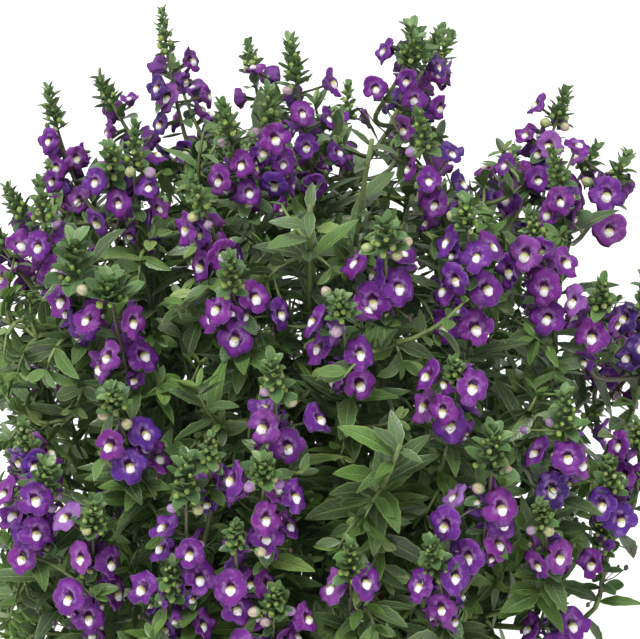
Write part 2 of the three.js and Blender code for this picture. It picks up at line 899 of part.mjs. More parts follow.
// A body is grown as one closed surface: each piece starts from a face of what carries it.
class Body {
  constructor() {
    this.points = [];
    this.faces = [];
  }

  addLoop(points) {
    return points.map((point) => this.points.push(point) - 1);
  }

  addFace(a, b, c) {
    const face = [a, b, c];
    this.faces.push(face);
    return face;
  }

  // The start of a stem is closed by a flat end that faces back.
  addStart(loop) {
    for (let k = 1; k + 1 < loop.length; k += 1) this.addFace(loop[0], loop[k + 1], loop[k]);
  }

  addEnd(loop) {
    for (let k = 1; k + 1 < loop.length; k += 1) this.addFace(loop[0], loop[k], loop[k + 1]);
  }

  addPeak(loop, point) {
    const [peak] = this.addLoop([point]);
    loop.forEach((index, k) => this.addFace(index, loop[(k + 1) % loop.length], peak));
  }

  gapBetween(a, b) {
    return this.points[a].distanceToSquared(this.points[b]);
  }

  // Joins two loops by a band of faces, with the upper loop turned to where the band is least skewed.
  addBand(lower, upper) {
    let best = null;
    let least = Infinity;
    for (let shift = 0; shift < upper.length; shift += 1) {
      const turnedLoop = upper.map((_, k) => upper[(k + shift) % upper.length]);
      const { faces, cost } = this.bandFaces(lower, turnedLoop);
      if (cost < least) {
        least = cost;
        best = faces;
      }
    }
    this.faces.push(...best);
    return best;
  }

  bandFaces(lower, upper) {
    const faces = [];
    let cost = 0;
    let i = 0;
    let j = 0;
    while (i < lower.length || j < upper.length) {
      const a = lower[i % lower.length];
      const b = upper[j % upper.length];
      const stepsLower = (i + 0.5) / lower.length <= (j + 0.5) / upper.length;
      if (j >= upper.length || (i < lower.length && stepsLower)) {
        i += 1;
        faces.push([a, lower[i % lower.length], b]);
      } else {
        j += 1;
        faces.push([a, upper[j % upper.length], b]);
      }
      cost += this.gapBetween(lower[i % lower.length], upper[j % upper.length]);
    }
    return { faces, cost };
  }

  normalOf(face) {
    const [a, b, c] = face.map((index) => this.points[index]);
    return unit(cross(minus(b, a), minus(c, a)));
  }

  // Takes away the face of a band that faces most nearly the given way, and gives its corners.
  openFace(band, direction) {
    let best = null;
    let most = -Infinity;
    for (const face of band) {
      const match = this.normalOf(face).dot(direction);
      if (match > most && this.faces.includes(face)) {
        most = match;
        best = face;
      }
    }
    this.faces.splice(this.faces.indexOf(best), 1);
    return best;
  }

  toMesh(name, material) {
    const geometry = new THREE.BufferGeometry();
    const positions = this.points.flatMap((point) => point.toArray());
    geometry.setAttribute("position", new THREE.Float32BufferAttribute(positions, 3));
    geometry.setIndex(this.faces.flat());
    geometry.computeVertexNormals();
    const mesh = new THREE.Mesh(geometry, material);
    mesh.name = name;
    return mesh;
  }
}

// Grows a stem along a path from a loop. Stations are [distance, radius], and each pair of stations
// gives one band of faces. Each ring is turned by half a side against the last.
function growStem(body, loop, path, stations) {
  const sides = loop.length;
  const middle = vector(0, 0, 0);
  for (const index of loop) middle.addScaledVector(body.points[index], 1 / sides);
  let side = minus(body.points[loop[0]], middle);
  let last = loop;
  const bands = stations.map(([distance, radius]) => {
    const share = Math.min(1, distance / path.length);
    const axis = pathDirection(path, share);
    side = turned(squareTo(axis, side), axis, Math.PI / sides);
    const ring = body.addLoop(ringPoints(pathPoint(path, share), axis, side, radius, sides));
    const band = body.addBand(last, ring);
    last = ring;
    return band;
  });
  return { bands, last };
}

function growFlower(body, loop, flower) {
  let last = loop;
  if (flower.hasNeck) {
    last = body.addLoop(flowerNeck(flower));
    body.addBand(loop, last);
  }
  const rim = body.addLoop(flowerRim(flower));
  body.addBand(last, rim);
  body.addPeak(rim, along(flower.centre, flower.arm, -THROAT_DEPTH));
}

function growBud(body, loop, bud) {
  const ahead = unit(bud.arm);
  const side = squareTo(ahead, UP);
  const ring = body.addLoop(ringPoints(bud.centre, ahead, side, BUD_RADIUS, 3));
  body.addBand(loop, ring);
  body.addPeak(ring, along(bud.centre, ahead, BUD_RADIUS));
}

function growLeaf(body, loop, leaf) {
  let last = loop;
  for (const section of leafSections(leaf)) {
    const next = body.addLoop(section);
    body.addBand(last, next);
    last = next;
  }
  body.addPeak(last, leafPoint(leaf, 1, 0, 0));
}

// Hosts close together share a short band of the stem where they point well apart. The band lies in
// the middle of its hosts, clear of the last one.
function shareBands(hosts, path, lastPlace) {
  const bands = [];
  const ordered = [...hosts].sort((one, other) => one.share - other.share);
  for (const host of ordered) {
    const wish = host.share * path.length;
    const way = squareTo(pathDirection(path, host.share), host.arm);
    const band = bands.at(-1);
    const pointsApart = band && band.ways.every((other) => other.dot(way) < SHARED_BAND_TURN);
    if (pointsApart && band.hosts.length < 3 && wish < band.first + SHARED_BAND_REACH) {
      band.hosts.push(host);
      band.ways.push(way);
      band.last = wish;
    } else {
      bands.push({ first: wish, last: wish, hosts: [host], ways: [way] });
    }
  }
  let free = 2;
  for (const band of bands) {
    band.place = Math.max((band.first + band.last - NODE_LENGTH) / 2, free);
    free = band.place + NODE_LENGTH + NODE_SPACING;
  }
  let limit = lastPlace;
  for (const band of bands.reverse()) {
    band.place = Math.min(band.place, limit);
    limit = band.place - NODE_LENGTH - NODE_SPACING;
  }
  return bands.reverse();
}

// Stations for the stem of these bands. A band starts at the last station, where that is near enough.
function addStations(stations, shared, radiusAt) {
  for (const band of shared) {
    const last = stations.length ? stations.at(-1)[0] : 0;
    if (band.place - last > LONGEST_BASE) stations.push([band.place, radiusAt(band.place)]);
    const end = band.place + NODE_LENGTH;
    band.index = stations.push([end, radiusAt(end)]) - 1;
  }
}

function growHosts(body, stemBands, shared) {
  for (const { index, hosts, ways } of shared) {
    hosts.forEach((host, k) => host.grow(body, body.openFace(stemBands[index], ways[k])));
  }
}

// A raceme on its loop: bands for what it carries, and the leafy head of small bracts at the tip.
function growRaceme(body, loop, raceme, extraHosts) {
  const { path } = raceme;
  const headStart = path.length - HEAD_LENGTH;
  const hosts = [
    ...raceme.flowers.map((flower) => ({ ...flower, grow: (b, face) => growFlower(b, face, flower) })),
    ...raceme.buds.map((bud) => ({ ...bud, grow: (b, face) => growBud(b, face, bud) })),
    ...extraHosts,
  ];
  const shared = shareBands(hosts, path, headStart - NODE_LENGTH - 1);
  const stations = [];
  const thickness = (distance) => RACHIS_RADIUS + (TIP_RADIUS - RACHIS_RADIUS) * (distance / path.length);
  addStations(stations, shared, thickness);
  stations.push([headStart, TIP_RADIUS], [headStart + HEAD_LENGTH * HEAD_BELLY, HEAD_RADIUS]);
  const { bands, last } = growStem(body, loop, path, stations);
  growHosts(body, bands, shared);
  body.addPeak(last, path.end);
}

function growSpray(spray) {
  const body = new Body();
  const [main, ...forks] = spray;
  const axis = pathDirection(main.path, 0);
  const foot = body.addLoop(ringPoints(main.path.start, axis, squareTo(axis, UP), RACHIS_RADIUS, 3));
  body.addStart(foot);
  const forkHosts = forks.map((fork) => ({
    share: FORK_SHARE,
    arm: minus(fork.stalk.control, fork.stalk.start),
    grow: (b, face) => {
      const stations = FORK_STATIONS.map((share) => [fork.stalk.length * share, RACHIS_RADIUS]);
      const grown = growStem(b, face, fork.stalk, stations);
      growRaceme(b, grown.last, fork, []);
    },
  }));
  growRaceme(body, foot, main, forkHosts);
  return body;
}

function growBranch(body, loop, branch) {
  const { path } = branch;
  const hosts = branch.leaves.map((leaf) => ({ ...leaf, grow: (b, face) => growLeaf(b, face, leaf) }));
  const shared = shareBands(hosts, path, path.length - NODE_LENGTH - 1);
  const stations = [[0, BRANCH_RADIUS]];
  const firstPlace = shared.length ? shared[0].place : path.length;
  const station = path.length * BRANCH_STATION;
  if (station < firstPlace - LONGEST_BASE + 1) stations.push([station, BRANCH_RADIUS]);
  addStations(stations, shared, () => BRANCH_RADIUS);
  stations.push([path.length, RACHIS_RADIUS]);
  const { bands, last } = growStem(body, loop, path, stations);
  growHosts(body, bands, shared);
  body.addEnd(last);
}

function growStemBody(stem) {
  const body = new Body();
  const outward = unit(vector(stem.root.x, stem.root.y, 0));
  const foot = body.addLoop(ringPoints(stem.root, UP, outward, STEM_RADIUS, STEM_SIDES));
  body.addStart(foot);
  const collar = body.addLoop(ringPoints(stem.path.start, UP, outward, STEM_RADIUS, STEM_SIDES));
  body.addBand(foot, collar);
  const hosts = stem.branches.map((branch) => ({
    share: branch.share,
    arm: branch.way,
    grow: (b, face) => growBranch(b, face, branch),
  }));
  const shared = shareBands(hosts, stem.path, stem.path.length - NODE_LENGTH - 1);
  const stations = [];
  addStations(stations, shared, () => STEM_RADIUS);
  const { bands, last } = growStem(body, collar, stem.path, stations);
  growHosts(body, bands, shared);
  body.addPeak(last, stem.path.end);
  return body;
}

// Pot and soil
const wasm = await Module();
wasm.setup();

function toSolid(geometry) {
  const plain = geometry.clone();
  plain.deleteAttribute("normal");
  plain.deleteAttribute("uv");
  const merged = mergeVertices(plain, 0.001);
  const vertProperties = new Float32Array(merged.attributes.position.array);
  const triVerts = new Uint32Array(merged.index.array);
  return new wasm.Manifold(new wasm.Mesh({ numProp: 3, vertProperties, triVerts }));
}

function toMesh(solid, name, material) {
  const { vertProperties, triVerts } = solid.getMesh();
  const geometry = new THREE.BufferGeometry();
  geometry.setAttribute("position", new THREE.BufferAttribute(new Float32Array(vertProperties), 3));
  geometry.setIndex(new THREE.BufferAttribute(new Uint32Array(triVerts), 1));
  geometry.computeVertexNormals();
  const mesh = new THREE.Mesh(geometry, material);
  mesh.name = name;
  return mesh;
}

function turnedSolid(profile) {
  const points = profile.map(([radius, height]) => new THREE.Vector2(radius, height));
  return toSolid(new THREE.LatheGeometry(points, POT_SIDES).rotateX(Math.PI / 2));
}

function uprightPeg(x, y, bottom, top, radius, sides) {
  const peg = new THREE.CylinderGeometry(radius, radius, top - bottom, sides).rotateX(Math.PI / 2);
  return toSolid(peg.translate(x, y, (top + bottom) / 2));
}

function potRadiusAt(height) {
  const share = height / (POT_HEIGHT - POT_RIM_DEPTH);
  return POT_BASE_RADIUS + (POT_RIM_RADIUS - POT_WALL - POT_BASE_RADIUS) * Math.min(1, share);
}

function makePot() {
  const band = POT_HEIGHT - POT_RIM_DEPTH;
  let pot = turnedSolid([
    [0, 0],
    [POT_BASE_RADIUS, 0],
    [potRadiusAt(band), band],
    [POT_RIM_RADIUS - 1, band + 2],
    [POT_RIM_RADIUS, POT_HEIGHT - 3],
    [POT_RIM_RADIUS - 3, POT_HEIGHT],
    [POT_RIM_RADIUS - POT_WALL + 2, POT_HEIGHT],
    [POT_RIM_RADIUS - POT_WALL, POT_HEIGHT - 2],
    [potRadiusAt(POT_FLOOR) - POT_WALL, POT_FLOOR],
    [0, POT_FLOOR],
  ]);
  for (let k = 0; k < DRAIN_COUNT; k += 1) {
    const bearing = (2 * Math.PI * k) / DRAIN_COUNT;
    const x = DRAIN_DISTANCE * Math.cos(bearing);
    const y = DRAIN_DISTANCE * Math.sin(bearing);
    pot = pot.subtract(uprightPeg(x, y, -1, POT_FLOOR + 1, DRAIN_RADIUS, 8));
  }
  return pot;
}

// The soil follows the pot's inner wall, and rises a little towards the middle.
function makeSoil() {
  const inner = [potRadiusAt(POT_FLOOR) - POT_WALL, POT_RIM_RADIUS - POT_WALL];
  const share = (SOIL_TOP - POT_FLOOR) / (POT_HEIGHT - 2 - POT_FLOOR);
  const edge = inner[0] + (inner[1] - inner[0]) * share;
  let soil = turnedSolid([
    [0, POT_FLOOR + SEAT_GAP],
    [inner[0] - 2 * SEAT_GAP, POT_FLOOR + SEAT_GAP],
    [edge - 2 * SEAT_GAP, SOIL_TOP - 3],
    [edge * 0.6, SOIL_TOP + SOIL_CROWN * 0.6],
    [0, SOIL_TOP + SOIL_CROWN],
  ]);
  for (const { root } of stems) {
    const top = SOIL_TOP + SOIL_CROWN + 2;
    soil = soil.subtract(uprightPeg(root.x, root.y, root.z - SEAT_GAP, top, HOLE_RADIUS, STEM_SIDES));
  }
  return soil;
}

// Materials
const clay = new THREE.MeshStandardMaterial({ color: 0xb5693f, roughness: 0.85, metalness: 0 });
const compost = new THREE.MeshStandardMaterial({ color: 0x3a2a1e, roughness: 1, metalness: 0 });
const greenery = new THREE.MeshStandardMaterial({ color: 0x4b6b2c, roughness: 0.55, metalness: 0 });
const petals = new THREE.MeshStandardMaterial({ color: 0x8247a8, roughness: 0.5, metalness: 0 });

// The plant in its pot
const pottedPlant = new THREE.Group();
pottedPlant.add(toMesh(makePot(), "pot", clay));
pottedPlant.add(toMesh(makeSoil(), "soil", compost));
stems.forEach((stem, k) => {
  const name = `leafy_stem_${String(k + 1).padStart(2, "0")}`;
  pottedPlant.add(growStemBody(stem).toMesh(name, greenery));
});
sprays.forEach((spray, k) => {
  const name = `raceme_${String(k + 1).padStart(2, "0")}`;
  pottedPlant.add(growSpray(spray).toMesh(name, petals));
});

export default pottedPlant;
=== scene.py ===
# A potted angelonia: a round bush of purple flower racemes on leafy stems, in a plain clay pot.
# The places below repeat the part's own rule in millimetres, so that every flower, bud and leaf grows
# where its solid is. The meshes are in metres.
import math

import bmesh
import bpy
import numpy as np
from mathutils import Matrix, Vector


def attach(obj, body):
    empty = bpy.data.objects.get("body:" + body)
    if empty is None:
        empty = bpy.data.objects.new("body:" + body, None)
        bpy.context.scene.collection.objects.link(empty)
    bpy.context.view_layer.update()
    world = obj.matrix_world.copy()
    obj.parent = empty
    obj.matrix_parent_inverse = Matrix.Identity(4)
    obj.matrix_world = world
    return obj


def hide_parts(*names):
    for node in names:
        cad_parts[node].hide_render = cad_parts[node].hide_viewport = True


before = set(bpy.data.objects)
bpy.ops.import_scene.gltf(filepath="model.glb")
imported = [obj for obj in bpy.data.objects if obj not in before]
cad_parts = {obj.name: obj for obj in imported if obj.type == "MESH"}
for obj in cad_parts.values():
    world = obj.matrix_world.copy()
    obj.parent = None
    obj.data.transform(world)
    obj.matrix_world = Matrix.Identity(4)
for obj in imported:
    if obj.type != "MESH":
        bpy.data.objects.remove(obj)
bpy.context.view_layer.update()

mm = 0.001
goldenTurn = 137.5    # degrees between one and the next in a spiral
camera = {
    "eye": (5.5, -1467, 660),    # mm
    "tilt": 12,    # degrees down
    "pictureWidth": 640,    # pixels
    "pictureMiddle": (320, 319.5),
    "focal": 2727,    # pixels
    "sensor": 36,    # mm
}
pot = {
    "height": 165,
    "baseRadius": 68,
    "rimRadius": 100,
    "rimDepth": 34,
    "wall": 8,
    "floor": 9,
    "drainRadius": 7,
    "drainDistance": 40,
    "drainCount": 3,
    "soilTop": 149,
    "soilCrown": 4,
}
bush = {"middle": 330, "radius": 195, "halfHeight": 190, "footDepth": 0.8, "clearance": 0.5}
stemPlan = {
    "count": 10,
    "ring": 26,
    "buried": 22,
    "radius": 2.8,
    "branchRadius": 1.6,
    "rachisRadius": 1.4,
    "bow": 0.06,
    "forkShare": 0.08,
    "forkBow": 0.4,
    "rimClearance": 9,
    "seatGap": 0.3,
    "checkStep": 20,    # mm of a stem that are checked as one piece
    "control": (1.15, 0.3),    # how far out and up a main stem bends
    "end": (0.42, 0.62),    # and how far in and up it ends
    "firstBranch": 0.24,
    "branchSpan": 0.68,
    "branchBend": 0.42,
    "shootSkin": 0.97,
    "shootLean": (0.7, 130),
}
flowerPlan = {
    "radius": 10.5,
    "reach": 12,
    "rise": 4,
    "neckShare": 0.36,
    "farNeckShare": 0.2,
    "neckRadius": 1.1,
    "side": 0.8,
    "look": 0.5,
    "lift": 0.12,
    "stretches": (1, 1.25),
    "swings": (0, 20, -20, 40, -40, 65, -65, 95, -95),
    "lifts": (0, 4, -4, 8, -8),
    "steps": 40,    # places on a rachis that a flower may grow from, and the first and last one used
    "stepRange": (4, 34),
}
budPlan = {"reach": 7.5, "radius": 2.7}
headPlan = {"length": 13, "radius": 4}
leafPlan = {
    "lengths": (22, 34),
    "widthShare": 0.3,
    "thickness": 1.2,
    "droop": 0.18,
    "branchPlaces": (8, 34),
    "shootPlaces": (5, 20),
    "swings": (0, 25, -25, 50, -50, 80, -80),
    "rises": (0.5, 0.9, 0.15, 1.4),
    "shootLengths": (16, 4),    # mm, of the first leaf and by which the next are longer
    "from": 0.3,    # where on a branch leaves may begin
    "secondLeaf": (0.85, 1),
    "large": 32.5,
    "smallOutline": ((0.14, 0.2, 0.2), (0.5, 1, 1)),
    "largeOutline": ((0.12, 0.2, 0.2), (0.42, 1, 0.8), (0.68, 0.62, 0.82)),
}
backPlan = {
    "sprays": 13,
    "flowers": 4,
    "turns": (0, 95, 205, 320),
    "top": 515,
    "bottom": 222,
    "bearings": (-4, 186),
    "length": 60,
    "forkLength": 48,
    "spread": 48,
    "skin": (0.95, 1.02),
    "stretch": (0.9, 1.1),
    "lean": 0.55,
    "upright": (0.45, 0.4, 150),    # least, what height adds, and the mm in which it adds that
    "look": 0.2,
    "firstTurn": (-60, -30),
    "turnPlay": (-15, 15),
    "firstFlower": 0.16,
    "flowerSpan": 0.54,
    "forkDrop": (2, 12),
    "forkLift": (-2, 10),
}
flowerOutline = (    # angle, share of the radius, millimetres forward
    (34, 0.66, -0.5), (70, 1, 1), (110, 1, 1), (146, 0.66, -0.5), (186, 1.02, 1.5),
    (226, 0.6, -0.5), (270, 0.9, 1), (314, 0.6, -0.5), (354, 1.02, 1.5),
)


def raceme(tip, foot, flowers, buds=(), share=1):
    return {"tip": tip, "foot": foot, "flowers": flowers, "buds": buds, "share": share}


# Front racemes as seen in the picture, in pixels: tip, foot, open flowers and large buds.
# Each spray is one main raceme and the ones that fork from it.
frontSprays = [
    [
        raceme((48, 90), (85, 205), [(49, 140), (76, 143), (57, 165), (98, 165), (62, 195)]),
        raceme((111, 148), (118, 205), [(118, 187), (100, 195), (109, 212), (95, 178)]),
    ],
    [
        raceme((135, 127), (140, 245), [(144, 189), (165, 178), (158, 208)],
               buds=[(155, 167), (130, 172)]),
    ],
    [
        raceme((162, 13), (197, 175),
               [(191, 60), (157, 87), (208, 88), (209, 108), (160, 117), (160, 142), (195, 80)]),
    ],
    [
        raceme((223, 107), (250, 205), [(242, 164), (249, 192), (219, 172), (281, 193)],
               buds=[(232, 115), (257, 137), (222, 143)]),
        raceme((269, 90), (275, 190), [(275, 130), (270, 160)]),
    ],
    [
        raceme((290, 43), (315, 185),
               [(302, 113), (306, 139), (290, 148), (300, 172), (332, 82), (328, 118), (338, 152)],
               buds=[(302, 89)]),
    ],
    [
        raceme((413, 32), (412, 150), [(385, 50), (437, 58), (440, 92), (388, 95), (433, 105), (386, 72)]),
    ],
    [
        raceme((418, 115), (445, 225),
               [(429, 172), (435, 196), (407, 173), (395, 175), (450, 165), (462, 183)],
               buds=[(411, 152), (434, 133)]),
    ],
    [
        raceme((565, 92), (525, 195),
               [(536, 104), (505, 165), (549, 145), (530, 145), (538, 165), (500, 142), (500, 178)],
               buds=[(553, 126), (565, 127)]),
    ],
    [
        raceme((552, 150), (565, 225), [(560, 185), (551, 209), (572, 175)]),
        raceme((627, 155), (590, 225), [(607, 194), (598, 208), (578, 155)], buds=[(587, 182)]),
    ],
    [
        raceme((75, 245), (85, 330), [(84, 310), (62, 300)]),
        raceme((40, 183), (60, 290), [(70, 236), (38, 246), (55, 270), (90, 250)], buds=[(45, 229)]),
    ],
    [
        raceme((110, 283), (130, 380),
               [(108, 348), (143, 355), (88, 335), (100, 367), (158, 351), (133, 305)],
               buds=[(107, 284), (83, 290)]),
    ],
    [
        raceme((193, 180), (230, 270), [(223, 238), (186, 228), (206, 256)],
               buds=[(190, 215), (208, 225)]),
    ],
    [raceme((230, 258), (240, 340), [(254, 297), (235, 322), (280, 305), (212, 325), (217, 300)])],
    [
        raceme((340, 298), (350, 390),
               [(360, 345), (359, 367), (335, 338), (319, 347), (314, 320), (376, 331)],
               buds=[(316, 302), (329, 327)]),
    ],
    [
        raceme((385, 225), (385, 310), [(373, 285), (397, 277), (356, 270), (409, 279)],
               buds=[(367, 248), (397, 255), (408, 247)]),
    ],
    [
        raceme((465, 203), (470, 345),
               [(477, 248), (486, 288), (443, 290), (445, 311), (455, 263), (475, 328), (445, 245),
                (493, 258)],
               buds=[(447, 222)]),
    ],
    [
        raceme((530, 215), (555, 325), [(531, 238), (510, 255), (565, 262), (545, 272), (548, 310)],
               share=0.93),
    ],
    [
        raceme((645, 275), (640, 385), [(625, 310), (638, 330), (628, 365)]),
        raceme((602, 285), (590, 360), [(592, 328), (573, 295), (573, 323), (612, 285)]),
    ],
    [raceme((638, 425), (635, 500), [(624, 468), (617, 433)], buds=[(632, 445)])],
    [
        raceme((455, 362), (450, 435), [(450, 408), (425, 405), (428, 375), (440, 390), (473, 370)],
               buds=[(458, 388)]),
    ],
    [
        raceme((272, 362), (280, 455), [(264, 410), (287, 430), (262, 437), (319, 418)],
               buds=[(291, 402), (265, 392), (258, 378)]),
    ],
    [
        raceme((112, 392), (140, 475), [(106, 434), (145, 433), (126, 452), (158, 457)],
               buds=[(106, 418), (127, 424), (95, 407)]),
    ],
    [
        raceme((48, 468), (35, 550), [(36, 517), (15, 515), (22, 542), (4, 493), (31, 480)],
               buds=[(33, 487), (52, 508), (58, 496)]),
        raceme((22, 425), (42, 480), [(38, 447)]),
    ],
    [
        raceme((88, 567), (90, 635), [(88, 602), (116, 585), (67, 577), (69, 600)],
               buds=[(91, 583), (101, 571)]),
        raceme((95, 505), (95, 580), [(80, 550), (111, 555), (67, 532)], buds=[(95, 527), (106, 527)]),
    ],
    [raceme((172, 565), (172, 640), [(144, 588), (202, 607)])],
    [
        raceme((187, 458), (190, 600), [(165, 527), (182, 537), (159, 554), (187, 570), (208, 568)],
               buds=[(198, 510), (172, 508), (198, 548)]),
        raceme((210, 438), (212, 500), [], buds=[(215, 467)]),
    ],
    [
        raceme((263, 462), (265, 550),
               [(232, 478), (237, 494), (266, 502), (257, 519), (288, 525), (295, 496)],
               buds=[(240, 470), (278, 484)]),
    ],
    [
        raceme((235, 528), (240, 610), [(230, 572), (252, 574), (236, 592), (268, 575)],
               buds=[(262, 545)]),
    ],
    [
        raceme((277, 590), (270, 665), [(243, 615), (262, 636), (307, 617), (297, 635)],
               buds=[(265, 622), (253, 606), (290, 611)]),
    ],
    [raceme((350, 545), (350, 620), [(331, 587), (366, 573)])],
    [
        raceme((430, 545), (445, 620), [(455, 568), (441, 592), (420, 577)]),
        raceme((493, 433), (480, 560),
               [(501, 499), (500, 518), (455, 496), (439, 486), (447, 518), (464, 531), (493, 537)],
               buds=[(484, 493), (507, 470)]),
    ],
    [
        raceme((565, 395), (560, 490), [(536, 452), (568, 441), (580, 455), (552, 474)],
               buds=[(525, 430), (550, 426)]),
    ],
    [raceme((540, 505), (548, 570), [(560, 541)], buds=[(549, 531), (531, 530), (560, 518)])],
    [
        raceme((600, 520), (600, 595), [(592, 548), (606, 556)]),
        raceme((608, 460), (610, 540), [(602, 489), (615, 507)]),
    ],
    [raceme((557, 583), (555, 665), [(572, 617), (530, 628), (560, 635)])],
]

leafyShoots = [    # the tips of shoots without flowers, in pixels
    (100, 452), (367, 600), (400, 445), (310, 205),
    (372, 140), (20, 590), (330, 650), (505, 650),
]


# Repeatable random numbers
def seededRandom(seed):
    state = seed

    def draw(low=0.0, high=1.0):
        nonlocal state
        state = (state * 16807) % 2147483647
        return low + (high - low) * (state / 2147483647)

    return draw


# Vectors in double precision, so that the plant grows as its solids did
def vec(x, y, z):
    return np.array((x, y, z), float)


up = vec(0, 0, 1)


def size(v):
    return math.sqrt(v[0] * v[0] + v[1] * v[1] + v[2] * v[2])


def unit(v):
    return v / (size(v) or 1)


def cross(a, b):
    return vec(a[1] * b[2] - a[2] * b[1], a[2] * b[0] - a[0] * b[2], a[0] * b[1] - a[1] * b[0])


def turned(v, axis, degrees):
    angle = math.radians(degrees)
    ahead = axis * (axis @ v) * (1 - math.cos(angle))
    return ahead + v * math.cos(angle) + cross(axis, v) * math.sin(angle)


def squareTo(axis, wish):    # a direction square to the axis, as near as it goes to the wish
    return unit(wish - axis * (axis @ wish))


# Sight lines from the camera through a pixel of the picture
eye = vec(*camera["eye"])


def sightLine(pixel):
    tilt = math.radians(camera["tilt"])
    line = vec(0, math.cos(tilt), -math.sin(tilt)) * camera["focal"]
    line[0] += pixel[0] - camera["pictureMiddle"][0]
    return unit(line + vec(0, math.sin(tilt), math.cos(tilt)) * (camera["pictureMiddle"][1] - pixel[1]))


def seenAtDepth(pixel, y):
    line = sightLine(pixel)
    return eye + line * ((y - eye[1]) / line[1])


bushSize = vec(bush["radius"], bush["radius"], bush["halfHeight"])
bushMiddle = vec(0, 0, bush["middle"])


def seenOnSkin(pixel, share):    # where the sight line meets the bush's skin, or passes nearest to it
    line = sightLine(pixel)
    start = (eye - bushMiddle) / bushSize
    step = line / bushSize
    a, b, c = step @ step, start @ step, start @ start - share * share
    return eye + line * ((-b - math.sqrt(max(0, b * b - a * c))) / a)


class Path:    # a quadratic curve from start over a control point to end
    def __init__(self, start, control, end):
        self.start, self.control, self.end = start, control, end
        rounds = size(start - control) + size(control - end)
        self.length = (rounds + size(start - end)) / 2

    def point(self, t):
        return self.start * ((1 - t) * (1 - t)) + self.control * (2 * t * (1 - t)) + self.end * (t * t)

    def direction(self, t):
        return unit((self.control - self.start) * (1 - t) + (self.end - self.control) * t)


# Everything placed so far: each item has a main direction and points around it
placed = []
placedSpots = np.zeros((8000, 4))    # centre and radius of each


def makeItem(axis, points):
    points = np.array(points)
    centre = points.sum(axis=0) / len(points)
    reach = max(size(point - centre) for point in points)
    return {"axis": axis, "points": points, "centre": centre, "radius": reach}


def place(item):
    placedSpots[len(placed)] = (*item["centre"], item["radius"])
    placed.append(item)


def areApart(one, other):    # two items are apart when a plane fits between them
    line = other["centre"] - one["centre"]
    a, b = one["axis"], other["axis"]
    axes = np.array([line, a, b, a - b, a + b, cross(a, b), cross(a, line), cross(b, line),
                     line - a * (a @ line), line - b * (b @ line)])
    lengths = np.sqrt((axes * axes).sum(axis=1))
    first = axes @ one["points"].T
    second = axes @ other["points"].T
    gaps = np.maximum(second.min(axis=1) - first.max(axis=1), first.min(axis=1) - second.max(axis=1))
    return bool(np.any((gaps > bush["clearance"] * lengths) & (lengths >= 0.001)))


def isClearOfPot(point):    # the pot takes up the space below its rim, apart from the mouth above the soil
    distance = math.hypot(point[0], point[1])
    if point[2] > pot["height"] + 2 or distance > pot["rimRadius"] + 2:
        return True
    inMouth = distance < pot["rimRadius"] - pot["wall"] - 3
    return inMouth and point[2] > pot["soilTop"] + pot["soilCrown"] + 1


def isClear(item):
    if not all(isClearOfPot(point) for point in item["points"]):
        return False
    spots = placedSpots[:len(placed)]
    gaps = np.sqrt(((spots[:, :3] - item["centre"]) ** 2).sum(axis=1))
    near = np.nonzero(gaps <= spots[:, 3] + item["radius"] + bush["clearance"])[0]
    return all(areApart(item, placed[k]) for k in near)


def besideAxis(axis):
    return squareTo(axis, up if abs(axis[2]) < 0.9 else vec(1, 0, 0))


def stemItem(start, end, radius):
    axis = unit(end - start)
    side = besideAxis(axis)
    across = cross(axis, side)
    points = []
    for spot in (start, end):
        for reach in (radius, -radius):
            points += [spot + side * reach, spot + across * reach]
    return makeItem(axis, points)


def placePath(path, radius):
    pieces = max(2, math.floor(path.length / stemPlan["checkStep"] + 0.5))
    for k in range(pieces):
        place(stemItem(path.point(k / pieces), path.point((k + 1) / pieces), radius))


# Racemes
between = seededRandom(4711)


def frontRaceme(entry):
    tip = seenOnSkin(entry["tip"], entry["share"])
    foot = seenAtDepth(entry["foot"], tip[1] * bush["footDepth"])
    outward = unit(vec(tip[0], tip[1], 0))
    control = foot + (tip - foot) * 0.5 + outward * (size(tip - foot) * stemPlan["bow"])
    path = Path(foot, control, tip)
    reach, rise = flowerPlan["reach"], flowerPlan["rise"]
    wanted = [seenFlower(path, pixel, reach, rise) for pixel in entry["flowers"]]
    buds = [seenFlower(path, pixel, budPlan["reach"], 0) for pixel in entry["buds"]]
    return {"path": path, "look": -sightLine(entry["tip"]), "wanted": wanted, "wantedBuds": buds,
            "tip": entry["tip"], "pixels": entry["flowers"], "isFar": False}


# A flower that is seen at a pixel: its root on the rachis, and its middle on the near side
def seenFlower(path, pixel, reach, rise):
    line = sightLine(pixel)
    share, least = 0, math.inf
    first, last = flowerPlan["stepRange"]
    for k in range(first, last + 1):
        start = path.point(k / flowerPlan["steps"]) - eye
        start[2] += rise
        distance = size(cross(start, line))
        if distance < least:
            least, share = distance, k / flowerPlan["steps"]
    root = path.point(share)
    near = line @ (root - eye)
    aside = size(eye + line * near - root)
    forward = math.sqrt(max(0, reach * reach - aside * aside))
    return share, eye + line * (near - forward) - root


